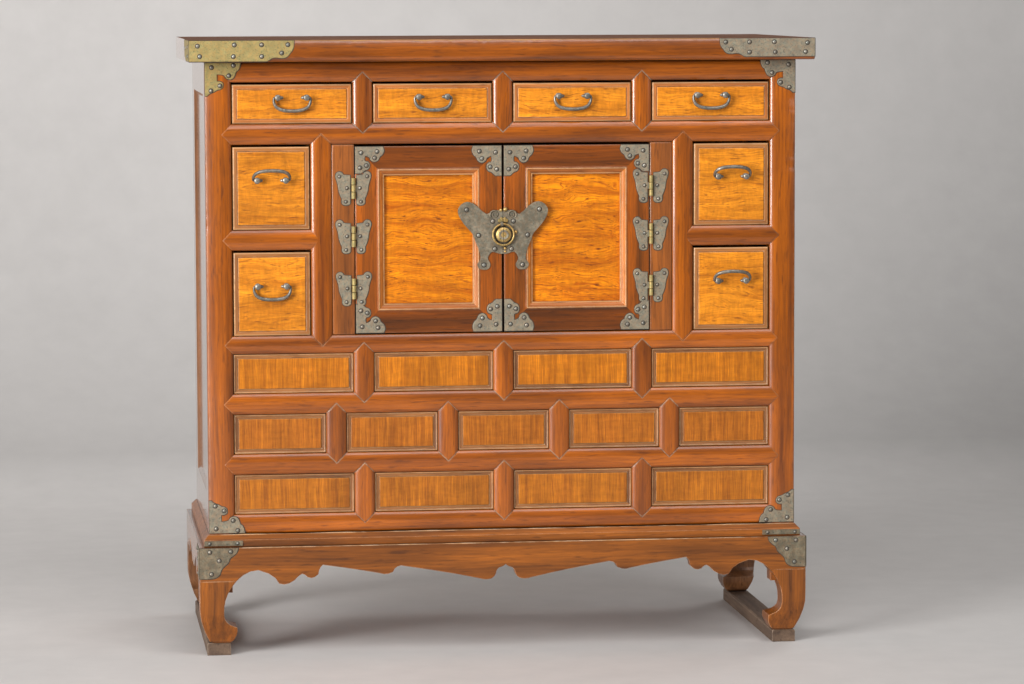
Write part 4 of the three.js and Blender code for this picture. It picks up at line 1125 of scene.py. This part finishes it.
def dress_lock(name, side):
    """Half the boss, with a dark disc of painted shade standing for the hole of its pit on the left, and the
    crest, nails, studs and curl beside it.
    """
    face, middle = LOCK_FACE, RING_MIDDLE.z
    work = brass_work(gold, lock_brass)
    turning(work, BOSS_PROFILE, (side * 0.4, face + 1, middle), BRASS, 16, -side * QUARTER, math.pi)
    if side < 0:
        x, y, z = HOLE_SHADE_PLACE
        turning(work, HOLE_SHADE_PROFILE, (x, face + y, middle + z), DIRT_AND_SHADE, 12)
    width, height = CREST_SIZE
    crest = [(side * u * width, middle + CREST_FOOT + v * height) for u, v in CREST_SHARES]
    plate(work, softened(crest, CREST_KEPT), face, CREST_THICKNESS, soiled_and_shaded=False)
    for x, z in LOCK_NAIL_PLACES:
        nail(work, side * x, middle + z, face, LOCK_NAIL)
    for x, z, radius in LOCK_STUDS[name]:
        profile = [(radius * across, radius * out) for across, out in STUD_PROFILE]
        turning(work, profile, (x, face + 0.4, middle + z), BRASS, 14)
    add_curl(work, side)
    work.place(f"lock_{name}_details", f"door_{name}", "aged_brass")


def dress_ring():
    """The ring that hangs in the eye."""
    x, y, z = RING_MIDDLE
    radius = (RING_HIGH.x - RING_LOW.x) / 2 - RING_INSET
    work = Work(gold)
    path = [(x + radius * c, y, z + radius * s) for c, s in spokes(RING_STEPS)]
    tube(work, path, [RING_BAR] * RING_STEPS, closed=True)
    work.place("hanging_ring", "ring", "bright_brass", replaces=["lock_ring"])


# Drawers and bails

DRAWERS = [f"top_{k}" for k in range(1, 5)] + ["left_upper", "left_lower", "right_upper", "right_lower"]
DRAWER_FRONT = 16
DRAWER_LIP = [
    (0, DRAWER_FRONT), (0, 1.6), (1.2, 0.2), (2.0, 0), (6.1, -0.2), (6.7, 0.7), (7.5, 0.7),
    (7.5, DRAWER_FRONT),
]
DRAWER_FIELD = 7.2
DRAWER_WALL = 8
DRAWER_FLOOR = 6
DRAWER_SIDE_DROP = 6
POST_SPACING = 42.5
POST_PROFILE = [
    (4.4, 0), (4.4, 0.7), (2.9, 1.5), (2.9, 9.8), (4.2, 10.5), (4.8, 11.6), (4.5, 12.8), (3.2, 13.6),
    (1.5, 13.95), (0.02, 14),
]
RAISED = ("left_upper", "right_upper", "right_lower")
RAISED_ANGLE = -140
BAIL_PATH_SHARES = [
    (0.48, 0), (0.6, 0), (0.7, 0), (0.84, 0), (0.94, 0), (1, -0.06), (1.015, -0.18), (0.99, -0.42),
    (0.88, -0.69), (0.66, -0.88), (0.35, -0.975), (0, -1),
]
BAIL_RADIUS_SHARES = [0.4, 1, 0.62, 0.62, 0.64, 0.66, 0.7, 0.8, 0.9, 0.97, 1, 1]
BAIL_RADIUS = 2.8
BAIL_REACH = 26.9
BAIL_DROP = 19.7
BAIL_STAND_OFF = 8
TOP_BAIL_RISE = 9.5
SIDE_BAIL_RISE = 12


def bail_middle(name):
    """The middle of a bail's posts, on the face of its drawer."""
    low, high = span(f"drawer_{name}")
    rise = TOP_BAIL_RISE if name.startswith("top") else SIDE_BAIL_RISE
    return Vector(((low.x + high.x) / 2, DRAWER_FACE, (low.z + high.z) / 2 + rise))


def dress_drawer(name):
    """A drawer: its lipped golden front, the box behind it and the two handle posts."""
    body = f"drawer_{name}_body"
    low, high = span(f"drawer_{name}")
    lips = (lip_x, lip_z) if name.startswith("top") else (dark_lip_x, dark_lip_z)
    work = Work(*lips, golden_drawer, plain_y, plain_x, worn_line)
    x = (low.x, high.x)
    z = (low.z, high.z)
    mitred(work, x, z, DRAWER_FACE, DRAWER_LIP, worn=(1, 2), worn_finish=5)
    back = DRAWER_FACE + DRAWER_FRONT
    start = back - 1
    field(work, x, z, DRAWER_FIELD, DRAWER_FACE - 0.9, start)
    left, right = low.x + DRAWER_WALL, high.x - DRAWER_WALL
    end = high.y - DRAWER_WALL
    top = high.z - DRAWER_SIDE_DROP
    work.board((left, back, low.z), (right, back - DRAWER_WALL, high.z - 0.5), 4)
    work.board((low.x, start, low.z), (left, high.y, top), 3)
    work.board((right, start, low.z), (high.x, high.y, top), 3)
    work.board((left, end, low.z), (right, high.y, top), 4)
    work.board((left, start, low.z), (right, end, low.z + DRAWER_FLOOR), 3)
    work.place(f"drawer_{name}_wood", body, "drawer_wood", replaces=[f"drawer_{name}"], bevel=0.5)
    posts = Work(pewter)
    middle = bail_middle(name)
    for way in (-1, 1):
        turning(posts, POST_PROFILE, middle + Vector((way * POST_SPACING / 2, -0.4, 0)), 0, 14)
    posts.place(f"drawer_{name}_posts", body, "aged_brass")


def curve_through(points, steps):
    """Points on a smooth curve through the given ones."""
    path = []
    for i in range(len(points) - 1):
        before = points[max(i - 1, 0)]
        start, end = points[i], points[i + 1]
        after = points[min(i + 2, len(points) - 1)]
        for k in range(steps):
            t = k / steps
            path.append(0.5 * (
                2 * start + (end - before) * t + (2 * before - 5 * start + 4 * end - after) * t * t
                + (3 * start - before - 3 * end + after) * t * t * t
            ))
    path.append(points[-1])
    return path


def dress_bail(name):
    """A bail in its posts, thicker towards the middle of its curve and with knobbed ends. Its points
    carry the bar's radius in place of y until they are turned."""
    centre = bail_middle(name) - Vector((0, BAIL_STAND_OFF, 0))
    left = []
    for (u, v), share in zip(BAIL_PATH_SHARES, BAIL_RADIUS_SHARES):
        left.append(Vector((-u * BAIL_REACH, share * BAIL_RADIUS, v * BAIL_DROP)))
    right = [Vector((-x, radius, z)) for x, radius, z in reversed(left[:-1])]
    shaped = curve_through(left + right, 3)
    turn = Matrix.Rotation(math.radians(RAISED_ANGLE if name in RAISED else 0), 3, "X")
    path = [centre + turn @ Vector((x, 0, z)) for x, _, z in shaped]
    work = Work(pewter)
    tube(work, path, [radius for _, radius, _ in shaped])
    work.place(f"bail_{name}_metal", f"bail_{name}_body", "aged_brass", replaces=[f"bail_{name}"])


# Finishes of the CAD nodes that stay

SINGLE_NODES = (
    (frame_x, ("top_rail", "drawer_rail", "waist_rail", "row_rail_upper", "row_rail_lower", "bottom_rail")),
    (frame_z, TOP_MULLIONS),
    (plain_x, ("back_panel",)),
    (stand_x, ("stand_belt", "apron_front", "apron_back")),
)
PAIRED_NODES = (
    (frame_z, "inner_post"), (frame_x, "drawer_shelf"), (side_wood, "side"), (plain_y, "drawer_case"),
    (golden_door, "door_panel"), (stand_y, "apron"), (runner_wood, "runner"), (stand_z, "leg_front"),
    (shaded_back_leg_wood, "leg_back"), (lock_brass, "lock_plate"),
)


def finish_nodes():
    finishes = [(node, finish) for finish, nodes in SINGLE_NODES for node in nodes]
    finishes += [(f"{kind}_{name}", finish) for finish, kind in PAIRED_NODES for name, _ in SIDES]
    for node, finish in finishes:
        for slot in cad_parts[node].material_slots:
            slot.material = finish


# Studio

FLOOR_TONE = "d6d2cf"
FLOOR_ROUGHNESS = 0.75
KEY_WAY = (-0.72, -0.69, 0)


def make_floor_material():
    """A nearly even surface with painted light and shade: it grows darker to the right and where it leaves
    the floor, and lighter again up the backdrop. A camera sees through it from behind, and where it comes
    near the key lamp."""
    material, tree, shader = new_material("studio floor")
    place = own_place(tree)
    aside, _, height = add(tree, "ShaderNodeSeparateXYZ", {0: place}).outputs
    cloud = calc(tree, "ADD", speckle(tree, place, 1.7, 4, 0.6), speckle(tree, place, 17.0, 3, 0.6))
    # Painted light and shade: darker to the right, dark low on the backdrop and lighter higher up; the cloud
    # is an even mottle.
    light = product(
        tree, ramp(tree, cloud, 0.7, 1.3, 0.96, 1.04), ramp(tree, aside, -0.2, 1.6, 1, 0.66),
        ramp(tree, height, 0, 0.07, 1, 0.72), ramp(tree, height, 0.07, 0.95, 1, 1.22),
    )
    tone = scaled(tree, colour(FLOOR_TONE)[:3], light)
    feed(tree, shader, {"Base Color": tone, "Roughness": FLOOR_ROUGHNESS})
    behind = add(tree, "ShaderNodeNewGeometry").outputs["Backfacing"]
    seen = add(tree, "ShaderNodeLightPath").outputs["Is Camera Ray"]
    near_key = ramp(tree, vector_calc(tree, "DOT_PRODUCT", place, KEY_WAY), 1.8, 3.4)
    hidden = product(tree, calc(tree, "MAXIMUM", behind, near_key), seen)
    clear = add(tree, "ShaderNodeBsdfTransparent").outputs[0]
    either = add(tree, "ShaderNodeMixShader", {0: hidden, 1: shader.outputs[0], 2: clear})
    feed(tree, tree.nodes["Material Output"], {"Surface": either.outputs[0]})
    return material


def make_stage():
    """A floor that sweeps up into a backdrop."""
    wide, front, wall, radius, height = 14.0, -14.0, 2.6, 1.2, 5.0
    curve = [(wall - radius + radius * s, radius - radius * c) for c, s in spokes(16, 0, QUARTER)]
    profile = [(front, 0.0), *curve, (wall, height)]
    mesh = bpy.data.meshes.new("studio_sweep")
    points = [(side * wide, y, z) for y, z in profile for side in (-1, 1)]
    faces = [(2 * i, 2 * i + 1, 2 * i + 3, 2 * i + 2) for i in range(len(profile) - 1)]
    mesh.from_pydata(points, [], faces)
    mesh.materials.append(make_floor_material())
    mesh.shade_smooth()
    sweep = bpy.data.objects.new("studio_sweep", mesh)
    bpy.context.scene.collection.objects.link(sweep)


def soft_lamp(name, place, target, size, power, spread=180):
    """A rectangle of light. A narrow spread keeps it off the floor beside it, as a grid would."""
    lamp = bpy.data.lights.new(name, "AREA")
    lamp.shape = "RECTANGLE"
    lamp.size, lamp.size_y = size
    lamp.energy = power
    lamp.spread = math.radians(spread)
    made = bpy.data.objects.new(name, lamp)
    made.location = place
    made.visible_camera = False
    made.rotation_euler = (Vector(target) - Vector(place)).to_track_quat("-Z", "Y").to_euler()
    bpy.context.scene.collection.objects.link(made)


def make_light():
    """A large key from the left, whose reflection runs down the rounded edges, and weaker ones to fill."""
    middle = (0, 0, 0.5)
    soft_lamp("key softbox", (-5.4, -5.22, 1.88), (0, 0, 0.6), (3.0, 3.5), 192, 90)
    soft_lamp("front softbox", (0.4, -2.6, 3.4), middle, (3.2, 2.2), 76)
    soft_lamp("fill softbox", (3.4, -3.2, 1.6), middle, (1.8, 1.8), 12)
    soft_lamp("back softbox", (2.2, 2.3, 2.4), middle, (1.6, 1.2), 24)
    world = bpy.data.worlds.new("studio air")
    world.use_nodes = True
    tree = world.node_tree
    seen = add(tree, "ShaderNodeLightPath").outputs["Is Camera Ray"]
    strength = ramp(tree, seen, 0, 1, 0.17, 0.6)
    feed(tree, tree.nodes["Background"], {"Color": (1, 1, 1, 1), "Strength": strength})
    bpy.context.scene.world = world


def make_camera():
    """The photograph's view: a long lens, a little to the left of the middle and looking slightly down."""
    focal_pixels = 3850.66
    picture_width = 1024
    yaw, pitch, roll = 0.125855, 0.0912057, -0.00316046
    place = Vector((-710.0, -5918.8, 992.7)) * MM
    ahead = Vector((math.sin(yaw) * math.cos(pitch), math.cos(yaw) * math.cos(pitch), -math.sin(pitch)))
    level = Vector((math.cos(yaw), -math.sin(yaw), 0))
    upwards = level.cross(ahead)
    right = level * math.cos(roll) + upwards * math.sin(roll)
    top = right.cross(ahead)
    data = bpy.data.cameras.new("camera")
    data.sensor_width = 36
    data.lens = focal_pixels * data.sensor_width / picture_width
    camera = bpy.data.objects.new("camera", data)
    camera.matrix_world = Matrix((right, top, -ahead)).transposed().to_4x4()
    camera.location = place
    bpy.context.scene.collection.objects.link(camera)
    bpy.context.scene.camera = camera


dress_top_board()
dress_top_bands()
dress_case_corners()
dress_stand_corners()
dress_stand_edges()
dress_panel_rows()
dress_seams()
dress_upright_bars()
dress_corner_posts()
dress_hinge_stiles()
for door_name, door_side in SIDES:
    dress_door(door_name, door_side)
    dress_lock(door_name, door_side)
dress_ring()
for drawer in DRAWERS:
    dress_drawer(drawer)
    dress_bail(drawer)
finish_nodes()
make_stage()
make_light()
make_camera()
bpy.context.scene.view_settings.view_transform = "Standard"
